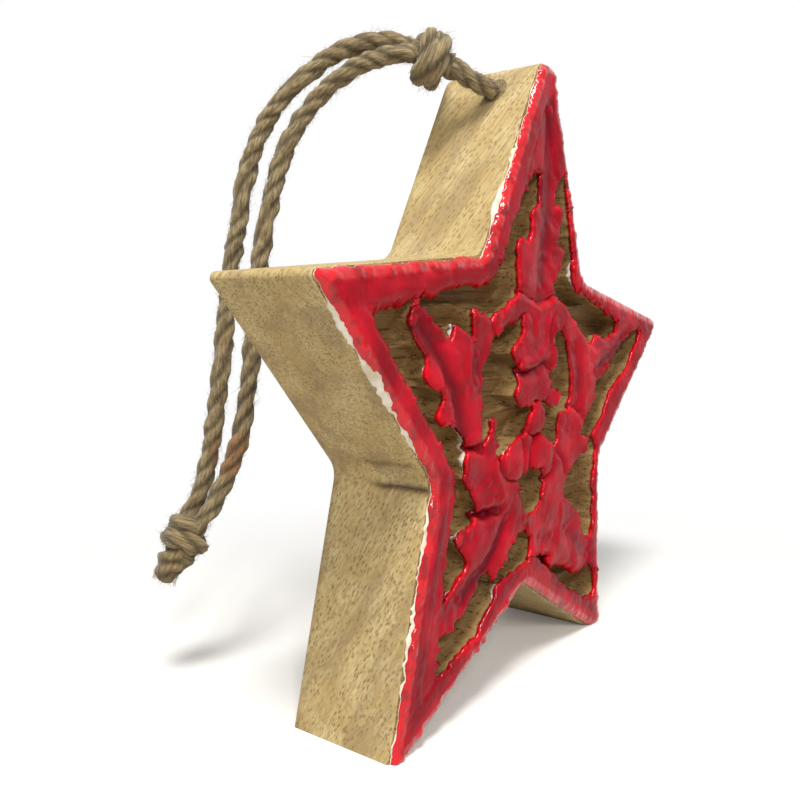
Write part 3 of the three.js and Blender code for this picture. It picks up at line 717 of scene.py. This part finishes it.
# Grooves, dishes and ridges of the painted face: how deep, or below 0 how high, how wide, and where
STROKES = [
    (1.1, 1.8, [[-44.3, 18], [-39.8, 14], [-35.3, 9.5], [-31.3, 4.5], [-28.8, 0], [-25.8, -4]]),
    (0.5, 0.8, [[-39.8, 14], [-34, 13.8]]),
    (0.9, 2.6, [[-23.3, 12], [-23.1, 6.5]]),
    (-0.35, 0.8, [[-27.3, 13], [-27.6, 8], [-25.6, 4.8], [-22.3, 5.2], [-20, 7.6]]),
    (0.5, 0.8, [[-18.8, 19], [-17.1, 16]]),
    (0.5, 0.8, [[-5.8, 21.4], [-3.4, 21.8], [-1.2, 20.6], [-0.6, 18.6], [-1.4, 16.8]]),
    (0.8, 0.9, [[-9.2, 26], [-3.8, 25], [1.2, 24], [4.2, 24.6], [8.7, 26.4]]),
    (-0.3, 1.0, [[-9.2, 24.6], [-3.8, 23.6], [1.2, 22.6], [4.2, 23.2], [8.7, 25]]),
    (1.0, 3.2, [[1.2, 27], [2.2, 38], [3.2, 50], [2.2, 60], [2, 66]]),
    (0.9, 1.3, [[6.4, 42.5], [7.4, 41.8]]),
    (-0.3, 0.8, [[1.4, 34.6], [4.2, 34.4], [7.7, 37], [8.8, 40]]),
    (
        -0.6, 0.9,
        [
            [-11.2, 12.6], [-8.3, 11], [-2.8, 10.4], [1.2, 11.2], [4.6, 13.8], [6, 16], [5.8, 19],
            [6.4, 21.4], [8.4, 24],
        ],
    ),
    (1.5, 1.3, [[-6.8, 9], [-2.8, 8.6], [1.2, 9.2], [5.2, 11.2], [8.7, 10.4]]),
    (-0.4, 0.8, [[9.8, 19.2], [9.6, 16], [10.2, 12.8]]),
    (0.8, 1.3, [[7.8, 22], [7.6, 18], [7.8, 14.5]]),
    (-0.3, 0.8, [[4.2, 2.4], [7.4, 5.2]]),
    (0.5, 0.8, [[5.2, 1.6], [8.2, 4.4]]),
    (1.1, 1.6, [[8, 9.5], [8.6, 6.5]]),
    (0.8, 2.2, [[20.7, 15], [23, 9], [23.2, 3]]),
    (0.9, 0.9, [[19.2, 1], [23.2, 0.4], [25.7, -1.5]]),
    (1.0, 1.8, [[34.2, 9.6], [39.2, 12], [45.2, 15], [51.2, 19]]),
    (-0.3, 1.0, [[29.2, 13], [35.2, 14.5], [41.2, 15]]),
    (0.7, 2.4, [[17.2, -3], [20.2, -5]]),
    (-0.3, 0.8, [[15.2, -0.4], [21.2, -0.6], [24.2, -3], [25.7, -6]]),
    (0.8, 1.0, [[13.2, -8.8], [17.2, -12.5], [19.2, -16]]),
    (-0.4, 0.8, [[-15.8, -10], [-14.6, -13], [-11.3, -17], [-8.8, -19]]),
    (0.4, 0.8, [[-18.8, -17], [-12.8, -17.6]]),
    (0.6, 2.5, [[-23.8, -13], [-16.8, -14]]),
    (2.2, 1.4, [[-21.3, -20.5], [-16.8, -21], [-11.8, -20.6]]),
    (1.8, 1.0, [[-25.8, -6], [-19.8, -7.4]]),
    (1.2, 1.8, [[-8.3, -22.5], [-11.8, -27.5], [-15.8, -31], [-20.8, -33.5], [-25.8, -36.5]]),
    (0.5, 4.0, [[-28.8, -39], [-31.8, -41]]),
    (0.8, 2.2, [[-22.8, -24.5], [-26.3, -25.2]]),
    (-0.3, 0.8, [[16.7, -21], [17.2, -26], [17, -31]]),
    (0.8, 2.4, [[7.2, -29], [13.2, -29.5]]),
    (0.8, 2.6, [[21.2, -29], [28.2, -34], [34.2, -38]]),
    (0.4, 0.8, [[-12.2, -9.6], [-10.8, -8.2], [-8.6, -7.6]]),
    (-0.4, 0.8, [[-3.3, -24], [-0.8, -23.6], [1.7, -24.2]]),
]

# Where the wall of a pocket starts with a slanting painted cut: x, z and how far round
SLANTS = [(-51, 23, 7), (-37, 25, 8), (-24, 28, 9), (-9.5, 20.5, 6.5), (7, 39, 4), (24, -22, 6), (22, -37, 9)]

# The two berries and the bell's clapper: their middle, radius and how far they stand up
DOMES = [([6.4, -10.2], 5.4, 0.55), ([-7.6, -9.4], 5.2, 0.5), ([2.1, -1.6], 3.8, 0.6)]


def polar(angle, reach):
    turn = math.radians(angle)
    return np.array([reach * math.cos(turn), reach * math.sin(turn)])


def turned(vector, angle):
    c, s = math.cos(angle), math.sin(angle)
    return np.array([c * vector[0] - s * vector[1], s * vector[0] + c * vector[1]])


def round_corner(before, corner, after, radius):
    """An arc that replaces a corner, tangent to both of its edges."""
    to_before = unit(before - corner)
    to_after = unit(after - corner)
    half = math.acos(to_before @ to_after) / 2
    centre = corner + unit(to_before + to_after) * radius / math.sin(half)
    start = corner + to_before * radius / math.tan(half) - centre
    cross = to_before[0] * to_after[1] - to_before[1] * to_after[0]
    sweep = math.copysign(math.pi - 2 * half, cross)
    return [turned(start, -sweep * step / CORNER_STEPS) + centre for step in range(CORNER_STEPS + 1)]


def star_outline(grow):
    """The star, counter-clockwise from its top point, grown outward or shrunk."""
    sharp, radii = [], []
    for (angle, reach, nose), (notch_angle, notch_reach) in zip(POINTS, NOTCHES):
        sharp += [polar(angle, reach), polar(notch_angle, notch_reach)]
        radii += [max(nose + grow, WELL_CORNER), NOTCH_FILLET - grow]
    count = len(sharp)
    grown = []
    for i, corner in enumerate(sharp):
        edge_in = unit(corner - sharp[i - 1])
        edge_out = unit(sharp[(i + 1) % count] - corner)
        normal_in = np.array([edge_in[1], -edge_in[0]])
        normal_out = np.array([edge_out[1], -edge_out[0]])
        along = (1 - normal_in @ normal_out) / (edge_in @ normal_out)
        grown.append(corner + normal_in * grow + edge_in * grow * along)
    outline = []
    for i, corner in enumerate(grown):
        outline += round_corner(grown[i - 1], corner, grown[(i + 1) % count], radii[i])
    return np.array(outline)


def inside_distance(points, outline, reach=None):
    """How far each point is inside of an outline, and below 0 outside of it."""
    outline = np.asarray(outline, float)
    result = np.full(len(points), -99.0)
    near = np.ones(len(points), bool)
    if reach:
        near = ((points > outline.min(0) - reach) & (points < outline.max(0) + reach)).all(1)
    p = points[near]
    best = np.full(len(p), 1e9)
    inside = np.zeros(len(p), bool)
    for a, b in zip(outline, np.roll(outline, -1, axis=0)):
        edge = b - a
        if edge @ edge < 1e-12:
            continue
        t = np.clip((p - a) @ edge / (edge @ edge), 0, 1)
        gap = p - a - t[:, None] * edge
        best = np.minimum(best, (gap**2).sum(1))
        if a[1] != b[1]:
            crossing = (a[1] > p[:, 1]) != (b[1] > p[:, 1])
            inside ^= crossing & (p[:, 0] < a[0] + (p[:, 1] - a[1]) / edge[1] * edge[0])
    result[near] = np.where(inside, 1, -1) * np.sqrt(best)
    return result


def line_distance(points, line):
    """Distance to a line of several points, and 1 along it, falling to 0 round its ends."""
    line = np.asarray(line, float)
    best = np.full(len(points), 1e9)
    for a, b in zip(line, line[1:]):
        t = np.clip((points - a) @ (b - a) / ((b - a) @ (b - a)), 0, 1)
        best = np.minimum(best, np.linalg.norm(points - a - t[:, None] * (b - a), axis=1))
    ends = np.minimum(*(np.linalg.norm(points - end, axis=1) for end in (line[0], line[-1])))
    return best, smooth(0.3 + ends / 2.2)


def softened(outline):
    """An outline with its corners cut twice."""
    points = np.asarray(outline, float)
    for _ in range(2):
        after = np.roll(points, -1, axis=0)
        points = np.stack([0.8 * points + 0.2 * after, 0.2 * points + 0.8 * after], 1).reshape(-1, 2)
    return points


def shoulder(inside, radius):
    """How far a rounded edge drops below the face beside it."""
    share = np.clip(1 - inside / radius, 0, 1)
    return radius * (1 - np.sqrt(1 - share**2))


def gouge_rows(points):
    """The rows that the gouge left across the whole star: 0 on the ridges, 1 at the bottom of each row."""
    height = points[:, 1] * math.cos(LEAN) - points[:, 0] * math.sin(LEAN) + STANDING[1]
    along = np.mod(height + 0.4 * noise(points, 14.0, 6), GOUGE_PITCH) / GOUGE_PITCH
    return np.sin(math.pi * along**0.55)


def ragged(points):
    """The same points, moved a little, so that what is drawn through them gets hand-cut edges."""
    slow = np.stack([noise(points, 5.0, 1), noise(points, 5.0, 2)], 1)
    quick = np.stack([noise(points, 1.5, 3), noise(points, 1.5, 4)], 1)
    return points + 0.2 * slow + 0.24 * quick


def raised_distance(points):
    """How far each point is inside of the raised shapes, and below 0 in the pockets."""
    raised = np.full(len(points), PLATEAU)
    for outline in POCKETS.values():
        raised = np.minimum(raised, -inside_distance(ragged(points), softened(outline), PLATEAU))
    return raised


def carve(points, raised, slope):
    """How deep the wood of the front lies, how much painted shade its grooves and dishes get, and how far
    below its painted face it lies.

    Where slope is 1, the wall of a pocket starts with a slanting cut.
    """
    p = ragged(points)

    floor = PAINT_DEPTH + WELL_DEPTH - GOUGE_DEPTH * (1 - gouge_rows(points))
    floor += 0.2 * noise(points, 9.0, 5) + 0.1 * noise(points * [0.1, 1], 0.9, 7)

    # The rim stands a little above the foliage, with a faint groove between them
    rim = -inside_distance(p, star_outline(-RIM_WIDTH))
    face = PAINT_DEPTH + 0.08 * noise(points, 7.0, 8) + 0.04 * noise(points, 2.6, 9)
    face += FOLIAGE_DROP * smooth(0.5 - rim / 1.6) + 0.22 * bump(rim, 0.5)
    # Painted shade: a darker red in the groove beside the rim, round the domes and along the sunken strokes
    sunken = 0.4 * bump(rim, 0.6)
    for centre, radius, height in DOMES:
        away = np.linalg.norm(p - centre, axis=1)
        face -= height * np.clip(1 - (away / radius) ** 2, 0, 1)
        face += 0.7 * bump(away - radius - 0.2, 0.7)
        sunken = np.maximum(sunken, bump(away - radius - 0.2, 0.8))
    for sink, width, line in STROKES:
        away, fade = line_distance(p, line)
        stroke = bump(away, width) * fade
        face += sink * stroke
        sunken = np.maximum(sunken, max(sink, 0) * stroke)

    wall = raised + SLOPE_WIDTH * slope
    share = smooth((wall + 0.75) / 1.5)
    slant = slope * (SLOPE_DEPTH * np.clip(-raised / SLOPE_WIDTH, 0, 1) + 0.3 * bump(np.abs(raised), 0.5))
    depth = floor * (1 - share) + (face + slant + shoulder(wall, EDGE_SOFT)) * share
    return depth, np.minimum(sunken, 1), depth - face


def squeezed(distance):
    """Draws the samples near a wall together, so that the wall stands steep and is well sampled."""
    size = np.abs(distance)
    drawn = SQUEEZE * size + (1 - SQUEEZE) * np.maximum(size - 0.9, 0) ** 2 / (size + 1e-9)
    share = smooth((size - 0.8) / 1.8)
    return np.sign(distance) * ((1 - share) * drawn + share * size)


def clip_mesh(faces, value, fields):
    """Keeps the triangles where value is above 0, cutting those that it crosses."""
    inside = value > 0
    count = inside[faces].sum(1)
    kept = [faces[count == 3]]
    start = len(value)
    cut = faces[(count == 1) | (count == 2)]
    single = inside[cut].sum(1) == 1
    odd = np.where(single[:, None], inside[cut], ~inside[cut]).argmax(1)
    rows = np.arange(len(cut))
    a, b, c = (cut[rows, (odd + k) % 3] for k in range(3))
    edges = np.concatenate([np.stack([a, b], 1), np.stack([a, c], 1)])
    ordered = np.sort(edges, axis=1)
    unique, back = np.unique(ordered, axis=0, return_inverse=True)
    back = back.ravel()
    first, second = unique.T
    t = value[first] / (value[first] - value[second])
    made = np.where(t < SLIVER, first, np.where(t > 1 - SLIVER, second, start + np.arange(len(unique))))
    ab, ac = made[back[: len(cut)]], made[back[len(cut):]]
    kept.append(np.stack([a, ab, ac], 1)[single])
    double = ~single
    kept.append(np.stack([ab, b, c], 1)[double])
    kept.append(np.stack([ab, c, ac], 1)[double])
    grown = {}
    for key, array in {**fields, "value": value}.items():
        w = t[:, None] if array.ndim == 2 else t
        grown[key] = np.concatenate([array, array[first] * (1 - w) + array[second] * w])
    grown["value"][start:] = 0
    faces = np.concatenate(kept)
    a, b, c = faces.T
    faces = faces[(a != b) & (b != c) & (c != a)]
    used, faces = np.unique(faces, return_inverse=True)
    return faces.reshape(-1, 3), {key: array[used] for key, array in grown.items()}


def border_edges(faces):
    """The edges that only one triangle has, in the direction in which it runs."""
    edges = np.concatenate([faces[:, [0, 1]], faces[:, [1, 2]], faces[:, [2, 0]]])
    both = np.sort(edges, axis=1)
    _, index, counts = np.unique(both, axis=0, return_index=True, return_counts=True)
    return edges[index[counts == 1]]


def vertex_normals(points, faces):
    corners = points[faces]
    normals = np.cross(corners[:, 1] - corners[:, 0], corners[:, 2] - corners[:, 0])
    total = np.zeros_like(points)
    for k in range(3):
        np.add.at(total, faces[:, k], normals)
    return unit(total)


# Dark cracks in the wood beside the lower left notch: height, how open, from what depth, to what depth
CRACKS = [(-9.4, 0.5, 3.0, 19.0), (-13.9, 1.0, 0.6, 17.0)]


def crack_open(points):
    """How open the cracks are at each point, 0 to 1."""
    x, depth, z = points.T
    total = np.zeros(len(points))
    for height, strength, start, end in CRACKS:
        line = height + 0.35 * noise(np.stack([depth, 0 * depth], 1), 3.0, 91)
        ends = smooth((depth - start) / 1.5) * smooth((end - depth) / 5)
        total += strength * bump(np.abs(z - line), 0.6) * ends * (x < -25)
    return total


def uphill(values, shape):
    """The direction in which values on the grid rise."""
    return unit(np.stack(np.gradient(values.reshape(shape), GRID), -1).reshape(-1, 2))


def carved_front():
    """The triangles of the carved front, and what is known of each of its points."""
    grid = np.stack(np.meshgrid(np.arange(-76, 79, GRID), np.arange(-68, 80, GRID), indexing="ij"), -1)
    shape = grid.shape[:2]
    flat = grid.reshape(-1, 2)
    edge = inside_distance(flat, star_outline(0))
    outward = -uphill(edge, shape)
    near = np.abs(edge - BORDER) < 0.3 * GRID
    flat[near] += outward[near] * (edge[near] - BORDER)[:, None]
    edge[near] = BORDER

    # The walls of the pockets, drawn outward where they don't slant, and undercut by the gouge
    raised = raised_distance(flat)
    rise = uphill(raised, shape)
    slanted = np.max([around(flat, *slant) for slant in SLANTS], 0)
    slope = smooth((rise[:, 1] - 0.35) / 0.5) * smooth((slanted - 0.2) / 0.3)
    raised = raised - (0.4 + 0.75 * smooth(rise[:, 0] / 0.7)) * (1 - slope)
    depth, sunken, drop = carve(flat, raised, slope)
    raised = raised + SLOPE_WIDTH * slope
    shift = squeezed(raised) - raised
    shift += 0.45 * gouge_rows(flat) * smooth((drop - 0.8) / 1.5) * smooth((raised + 1.1) / 0.5)
    moved = flat + rise * shift[:, None] * (edge > 3.5)[:, None]

    # The worn edge, and slow waves in what the knife left flat
    worn = np.clip(1 - edge / EDGE_WIDTH, 0, 1)
    depth = depth + EDGE_DROP * (0.35 * worn + 0.65 * (1 - np.sqrt(1 - worn**2)))
    waves = 0.3 * noise(flat, 7.0, 81) + 0.16 * noise(flat, 3.0, 82)
    depth = depth + waves * smooth((edge - 5.5) / 3) * smooth((1.5 - drop) / 1.2)

    index = np.arange(len(flat)).reshape(shape)
    a, b, c, d = index[:-1, :-1], index[1:, :-1], index[1:, 1:], index[:-1, 1:]
    faces = np.concatenate([np.stack([a, b, c], -1).reshape(-1, 3), np.stack([a, c, d], -1).reshape(-1, 3)])
    inside = edge - BORDER + 1e-9
    inside[near] = 1e-9
    faces = faces[(inside[faces] > 0).any(1)]
    fields = {"shape": np.stack([moved[:, 0], depth, moved[:, 1]], 1), "outward": outward}
    fields.update(sunken=sunken, raised=raised, drop=drop, slope=slope, over=EDGE_WIDTH - edge)
    return clip_mesh(faces, inside, fields)


def star_surface():
    """The star's surface but for its back: points, triangles, the edge of the back and facts for the paint."""
    faces, fields = carved_front()
    shape = fields["shape"]
    count = len(shape)

    # The sides run down from the border, round the front edge and to the back edge
    border = np.unique(border_edges(faces))
    border = border[np.argsort(np.arctan2(shape[border, 2], shape[border, 0]))]
    out = unit(fields["outward"][border])
    start = math.asin(1 - BORDER / EDGE_WIDTH)
    turn = np.linspace(start, math.pi / 2, 5)[1:]
    falls = list(EDGE_DROP * (math.cos(start) - np.cos(turn)))
    reach = list(EDGE_WIDTH * (np.sin(turn) - math.sin(start)))
    deep = THICKNESS - PAINT_DEPTH - EDGE_DROP * (1 - math.cos(start))
    falls += [*np.arange(falls[-1] + 0.35, 4, 0.35), *np.linspace(4.6, deep - BACK_ROUND, 14)]
    reach += [BORDER] * (len(falls) - len(reach))
    for angle in np.radians([30, 60, 90]):
        falls.append(deep - BACK_ROUND * (1 - math.sin(angle)))
        reach.append(BORDER - BACK_ROUND * (1 - math.cos(angle)))

    # Below its uneven edge, each side settles to a flat back
    rows = [border]
    points = [shape]
    top = shape[border, 1]
    width = len(border)
    for k, (down, away) in enumerate(zip(falls, reach)):
        ring = shape[border].copy()
        ring[:, [0, 2]] += out * away
        settle = math.exp(-down / 1.5)
        ring[:, 1] = top * settle + (THICKNESS - deep) * (1 - settle) + down
        ring[:, [0, 2]] -= out * 0.45 * crack_open(ring)[:, None]
        points.append(ring)
        rows.append(count + k * width + np.arange(width))
    sides = []
    for upper, lower in zip(rows, rows[1:]):
        after = np.roll(lower, -1)
        sides.append(np.stack([upper, lower, after], 1))
        sides.append(np.stack([upper, after, np.roll(upper, -1)], 1))
    points = np.vstack(points)
    faces = np.concatenate([faces, *sides])
    extra = len(points) - count
    facts = {"side": np.concatenate([np.zeros(count), np.ones(extra)])}
    for key, beyond in (("sunken", 0), ("raised", PLATEAU), ("drop", 0), ("slope", 0)):
        facts[key] = np.concatenate([fields[key], np.full(extra, beyond, float)])
    facts["over"] = np.concatenate([fields["over"], EDGE_WIDTH - BORDER + np.repeat(falls, width)])
    return points, faces, rows[-1], facts


def corner_wear(points):
    """Where the wood is darker with handling: along the points of the star and the back edge."""
    reach = np.hypot(points[:, 0], points[:, 2])
    tips = [smooth((reach - (far - 1.6)) / 1.6) * (far - 6 < reach) for _, far, _ in POINTS]
    angle = np.degrees(np.arctan2(points[:, 2], points[:, 0]))
    turned_away = [np.abs((angle - at + 180) % 360 - 180) for at, _, _ in POINTS]
    worn = np.max([tip * (away < 12) for tip, away in zip(tips, turned_away)], 0)
    back = smooth((points[:, 1] - THICKNESS + 1.4) / 1.4) * (reach > 30)
    return np.maximum(worn, back) * (0.6 + 0.8 * noise(points, 4.0, 92))


def to_part(points):
    """From the star's own plane, with depth behind the front, to where it stands."""
    c, s = math.cos(LEAN), math.sin(LEAN)
    x, depth, z = points.T
    placed = np.stack([x * c + z * s + STANDING[0], depth - THICKNESS / 2, z * c - x * s + STANDING[1]], 1)
    placed[:, 2] = np.maximum(placed[:, 2], 0)
    return placed


# Where the primer shows more: x, z, how far round, how much further it reaches, how far the enamel stays back
PRIMER_PATCHES = [
    (-29, -9, 3.2, 2.6, 0), (-27, -5.5, 2.4, 2.2, 0), (14, 31, 3.2, 3.4, 0), (-33, 16.5, 1.6, 1.2, 0),
    (-42, 8, 2, 0.7, 0), (-13, -8, 2.6, 2.0, 0), (-7, 19.2, 1.2, 1.4, 0), (7, -34, 2, 0.8, 0),
    (-12, -37, 2, 0.8, 0), (-27, -22.5, 2.6, 1.0, 0), (-31, -34, 2.4, 1.0, 0), (-37, -4, 2.4, 0.8, 0),
    (-65, 15, 3.2, 0.8, 0.7), (-56, 6.5, 3.4, 0.7, 1.3), (-52, 2.4, 2.6, 0.6, 1.0),
    (-46, -4, 2.4, 0.5, 0.5), (-18, 42.5, 3.2, 1.0, 0.6), (-13, 53, 3, 0.3, 0.3), (-41, -22, 5, 0.25, 0.3),
    (-44, -40, 6, 0.3, 0.2),
]

# Where the enamel lies darkest on the carving: x, z, how far round
DARK_FLATS = [(1, 44, 24), (1, 10, 12), (22, -26, 10), (-40, -50, 16)]


def left_share(points):
    """The paint lies rougher along the left of the star than along its right."""
    return smooth((12 - points[:, 0]) / 24)


def paint_reach(points, facts):
    """How far each point lies inside of the enamel and of the primer, in millimetres."""
    coarse = noise(points, 6.0, 61)
    middle = noise(points, 2.4, 62)
    fine = noise(points, 0.9, 63)
    run = 0.6 + 0.25 * coarse + 0.25 * middle + 0.25 * fine
    run += facts["slope"] * (2.3 + 0.5 * coarse + 0.4 * middle + 0.3 * fine)
    front = np.maximum(run, 0.4) - facts["drop"]
    rough = 0.4 + 0.6 * left_share(points)
    wrap = EDGE_WIDTH - 0.5 + rough * (0.25 * coarse + 0.3 * middle + 0.25 * fine) - facts["over"]
    margin = 0.36 * np.maximum(noise(points, 4.5, 64), 0) + 0.12 * fine
    margin = np.maximum(margin, 0.05) * np.where(facts["over"] > 0, 1.0, 0.3)
    speckle = 0.8 + 0.9 * noise(points, 1.1, 65) + 0.5 * noise(points, 2.6, 66)
    for x, z, wide, more, back in PRIMER_PATCHES:
        near = around(points, x, z, wide)
        wrap = wrap - back * near * speckle
        margin = margin + (more + back * speckle) * near
    enamel = np.minimum(np.minimum(wrap, front), 3)
    return enamel, enamel + margin


def coat_mesh(points, normals, faces, value, facts, under, thickness, taper, lumps=None):
    """A closed coat of paint over the part of a surface where value is above 0.

    It lies on a coat as thick as under, and tapers off towards its border.
    """
    fields = {"points": points, "normals": normals, "sunken": facts["sunken"], "thick_and_lit": facts["thick_and_lit"]}
    if lumps is not None:
        fields["lumps"] = lumps
    faces, kept = clip_mesh(faces, value, fields)
    rise = smooth(0.25 + kept["value"] / taper)
    height = thickness * rise
    if lumps is not None:
        height = np.maximum(height + kept["lumps"] * smooth(kept["value"] / taper), THINNEST_COAT)
    normal = unit(kept["normals"])
    outer = kept["points"] + normal * (under + height)[:, None]
    inner = kept["points"] + normal * (under - COAT_OVERLAP)
    count = len(outer)
    edges = border_edges(faces)
    walls = [[a, a + count, b + count, b] for a, b in edges.tolist()]
    every = [*faces.tolist(), *(faces[:, ::-1] + count).tolist(), *walls]
    # How squarely the coat faces the front: there the enamel takes its shaded red, painted shade
    kept["level"] = smooth((-kept["normals"][:, 1] - 0.7) / 0.25)
    shades = {key: np.concatenate([kept[key], kept[key]]) for key in ("sunken", "thick_and_lit", "level")}
    return np.vstack([outer, inner]), every, shades


def drill_bore(wood):
    """The bore runs from side to side through the top point."""
    turn = np.linspace(0, 2 * math.pi, BORE_SIDES, endpoint=False)
    ring = np.stack([0 * turn, np.cos(turn), np.sin(turn)], 1) * BORE_DIAMETER / 2
    reach = np.array([DRILL_REACH, 0, 0])
    points = np.vstack([BORE_MIDDLE + ring - reach, BORE_MIDDLE + ring + reach])
    count = len(turn)
    walls = [[i, i + count, (i + 1) % count + count, (i + 1) % count] for i in range(count)]
    faces = [*walls, list(range(count)), list(range(2 * count - 1, count - 1, -1))]
    drill = make_mesh("drill", points, faces)
    cut = wood.modifiers.new("bore", "BOOLEAN")
    cut.operation = "DIFFERENCE"
    cut.solver = "MANIFOLD"
    cut.object = drill
    bpy.context.view_layer.update()
    solid = bpy.data.meshes.new_from_object(wood.evaluated_get(bpy.context.evaluated_depsgraph_get()))
    wood.modifiers.clear()
    wood.data = solid
    bpy.data.objects.remove(drill)


def paint_lumps(points, facts, rounded):
    """How much thicker the enamel is in beads and burrs along the edges of the carving and of the star."""
    puffs = 1.5 * np.abs(noise(points, 2.8, 71)) + 0.9 * np.abs(noise(points, 1.3, 72)) - 0.45
    beads = 0.5 * smooth((1.2 - facts["raised"]) / 0.8) * smooth((1.4 - facts["drop"]) / 0.6)
    swollen = (0.18 + 0.32 * left_share(points)) * rounded
    lumps = puffs * (0.07 + beads + swollen) + 0.04 * noise(points, 4.5, 73)
    burrs = np.maximum(noise(points, 0.85, 76) + 0.35 * noise(points, 3.0, 77) - 0.1, 0)
    at_wall = smooth((1.3 - facts["raised"]) / 0.5) * smooth((facts["raised"] + 0.7) / 0.4)
    return lumps + 1.3 * burrs * at_wall + 0.3 * burrs * rounded


def dark_share(points, facts):
    """How dark the enamel is: painted shade on the rim's flat, more towards the bottom, and in the grooves and
    dishes of the face, and darker patches on the flats, some at random and some at given places.
    """
    rim = smooth(-facts["over"] - 0.5) * smooth((RIM_WIDTH + 1 - EDGE_WIDTH + facts["over"]) / 1.5)
    rim = rim * (0.25 + 0.55 * smooth((-points[:, 2] - 6) / 16)) * smooth(0.8 + noise(points, 8.0, 74))
    # Darker patches on the flats, some at random and some at given places
    dark_patches = smooth(0.45 + 0.9 * noise(points, 6.0, 75))
    for place in DARK_FLATS:
        dark_patches = np.maximum(dark_patches, 0.8 * around(points, *place))
    dark_patches = 0.6 * dark_patches * (1 - facts["thick_and_lit"])
    return np.maximum(facts["sunken"], np.maximum(rim, dark_patches))


def make_star():
    points, faces, back_ring, facts = star_surface()
    normals = vertex_normals(points, faces)

    # Paint
    enamel_reach, primer_reach = paint_reach(points, facts)
    rounded = smooth((facts["over"] + 0.1) / 0.5)
    lumps = paint_lumps(points, facts, rounded)
    # Where the enamel lies thick along edges: glossier there, and given the lit red, painted light
    facts["thick_and_lit"] = np.maximum(rounded, smooth((1.0 - facts["raised"]) / 0.7))
    facts["sunken"] = dark_share(points, facts)
    outer, enamel_faces, shades = coat_mesh(
        points, normals, faces, enamel_reach, facts,
        under=PRIMER_THICKNESS, thickness=ENAMEL_THICKNESS, taper=0.9, lumps=lumps,
    )
    enamel = make_mesh("enamel_paint", to_part(outer), enamel_faces, ENAMEL, **shades)
    outer, primer_faces, _ = coat_mesh(
        points, normals, faces, primer_reach, facts, under=0.0, thickness=PRIMER_THICKNESS, taper=0.5
    )
    primer = make_mesh("primer_paint", to_part(outer), primer_faces, PRIMER)

    # Wood, closed by its flat back
    border = points[back_ring]
    centre = border.mean(0)
    whole = np.vstack([points, border + BACK_INSET * (centre - border), centre])
    inner_ring = len(points) + np.arange(len(border))
    back = []
    for a, b, c, d in zip(back_ring, inner_ring, np.roll(inner_ring, -1), np.roll(back_ring, -1)):
        back += [[a, b, c, d], [b, len(whole) - 1, c]]
    unmarked = np.zeros(len(border) + 1)
    on_side = np.concatenate([facts["side"], unmarked])
    carved = np.concatenate([1 - facts["side"], unmarked])
    creased = np.minimum(crack_open(whole) + WEAR * corner_wear(whole), 1) * on_side
    wood_faces = [*faces.tolist(), *back]
    wood = make_mesh("carved_star", to_part(whole), wood_faces, WOOD, carved=carved, creased=creased)
    drill_bore(wood)

    for piece, node, slot in (
        (wood, "star_block", "wood"),
        (primer, "primer_coat", "primer"),
        (enamel, "enamel_coat", "enamel"),
    ):
        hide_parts(node)
        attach(piece, "star")


make_star()

# The room: a pale floor that fades into a white surround. The surround looks white but lights with FILL only.
FILL = 0.32
FLOOR_STEPS = 24
FLOOR_REACH = 3000
FLOOR_DROP = 0.05
# How much the floor is brightened in the picture, and from how far to how far it fades, in metres
FLOOR_LIFT = 0.08
FADE_FROM = 0.085
FADE_TO = 0.18

# Soft light from the upper left: the place, the power in watts and the size of each light, in metres
LIGHTS = {"key": ((-0.30, -0.16, 0.78), 5.4, 0.2), "glint": ((-0.42, -0.40, 0.42), 1.7, 0.12)}
LIGHT_AIM = (0, 0, 0.06)
LIGHT_COLOUR = (1.0, 0.985, 0.96)


def make_room():
    world = bpy.data.worlds.new("room")
    scene.world = world
    world.use_nodes = True
    tree = world.node_tree
    path = tree.nodes.new("ShaderNodeLightPath")
    seen = maths(tree, "MAXIMUM", path.outputs["Is Camera Ray"], path.outputs["Is Glossy Ray"])
    seen = maths(tree, "MAXIMUM", seen, path.outputs["Is Transmission Ray"])
    values = {"Value": seen, "To Min": FILL, "To Max": 1.0}
    background = tree.nodes["Background"]
    background.inputs["Color"].default_value = (1, 1, 1, 1)
    tree.links.new(add(tree, "ShaderNodeMapRange", values), background.inputs["Strength"])

    line = np.linspace(-FLOOR_REACH, FLOOR_REACH, FLOOR_STEPS + 1)
    points = [[x, y, -FLOOR_DROP] for x in line for y in line]
    faces = []
    for i, j in itertools.product(range(FLOOR_STEPS), repeat=2):
        a = i * len(line) + j
        faces.append([a, a + len(line), a + len(line) + 1, a + 1])
    material, tree, shader = new_material("pale_floor", 0.8, Specular_IOR_Level=0.2)
    away = add(tree, "ShaderNodeVectorMath", {0: object_place(tree)}, "Value", operation="LENGTH")
    path = tree.nodes.new("ShaderNodeLightPath")
    pale = mixed(tree, path.outputs["Is Diffuse Ray"], "floor_seen", "floor_bounced")
    tree.links.new(pale, shader.inputs["Base Color"])
    fade = times(tree, ramp(tree, away, FADE_FROM, FADE_TO), path.outputs["Is Camera Ray"])
    lift = times(tree, path.outputs["Is Camera Ray"], FLOOR_LIFT)
    white = add(tree, "ShaderNodeEmission", {"Color": (1, 1, 1, 1), "Strength": 1.0})
    glow = add(tree, "ShaderNodeEmission", {"Color": (1, 1, 1, 1), "Strength": lift})
    lit = add(tree, "ShaderNodeAddShader", {0: shader.outputs[0], 1: glow})
    surface = add(tree, "ShaderNodeMixShader", {0: fade, 1: lit, 2: white})
    tree.links.new(surface, tree.nodes["Material Output"].inputs["Surface"])
    make_mesh("floor", points, faces, material, shade_smooth=False)

    for name, (place, power, size) in LIGHTS.items():
        data = bpy.data.lights.new(name, "AREA")
        data.energy = power
        data.size = size
        data.color = LIGHT_COLOUR
        aimed(name, data, place, Vector(LIGHT_AIM) - Vector(place))


make_room()
scene.view_settings.view_transform = "Standard"
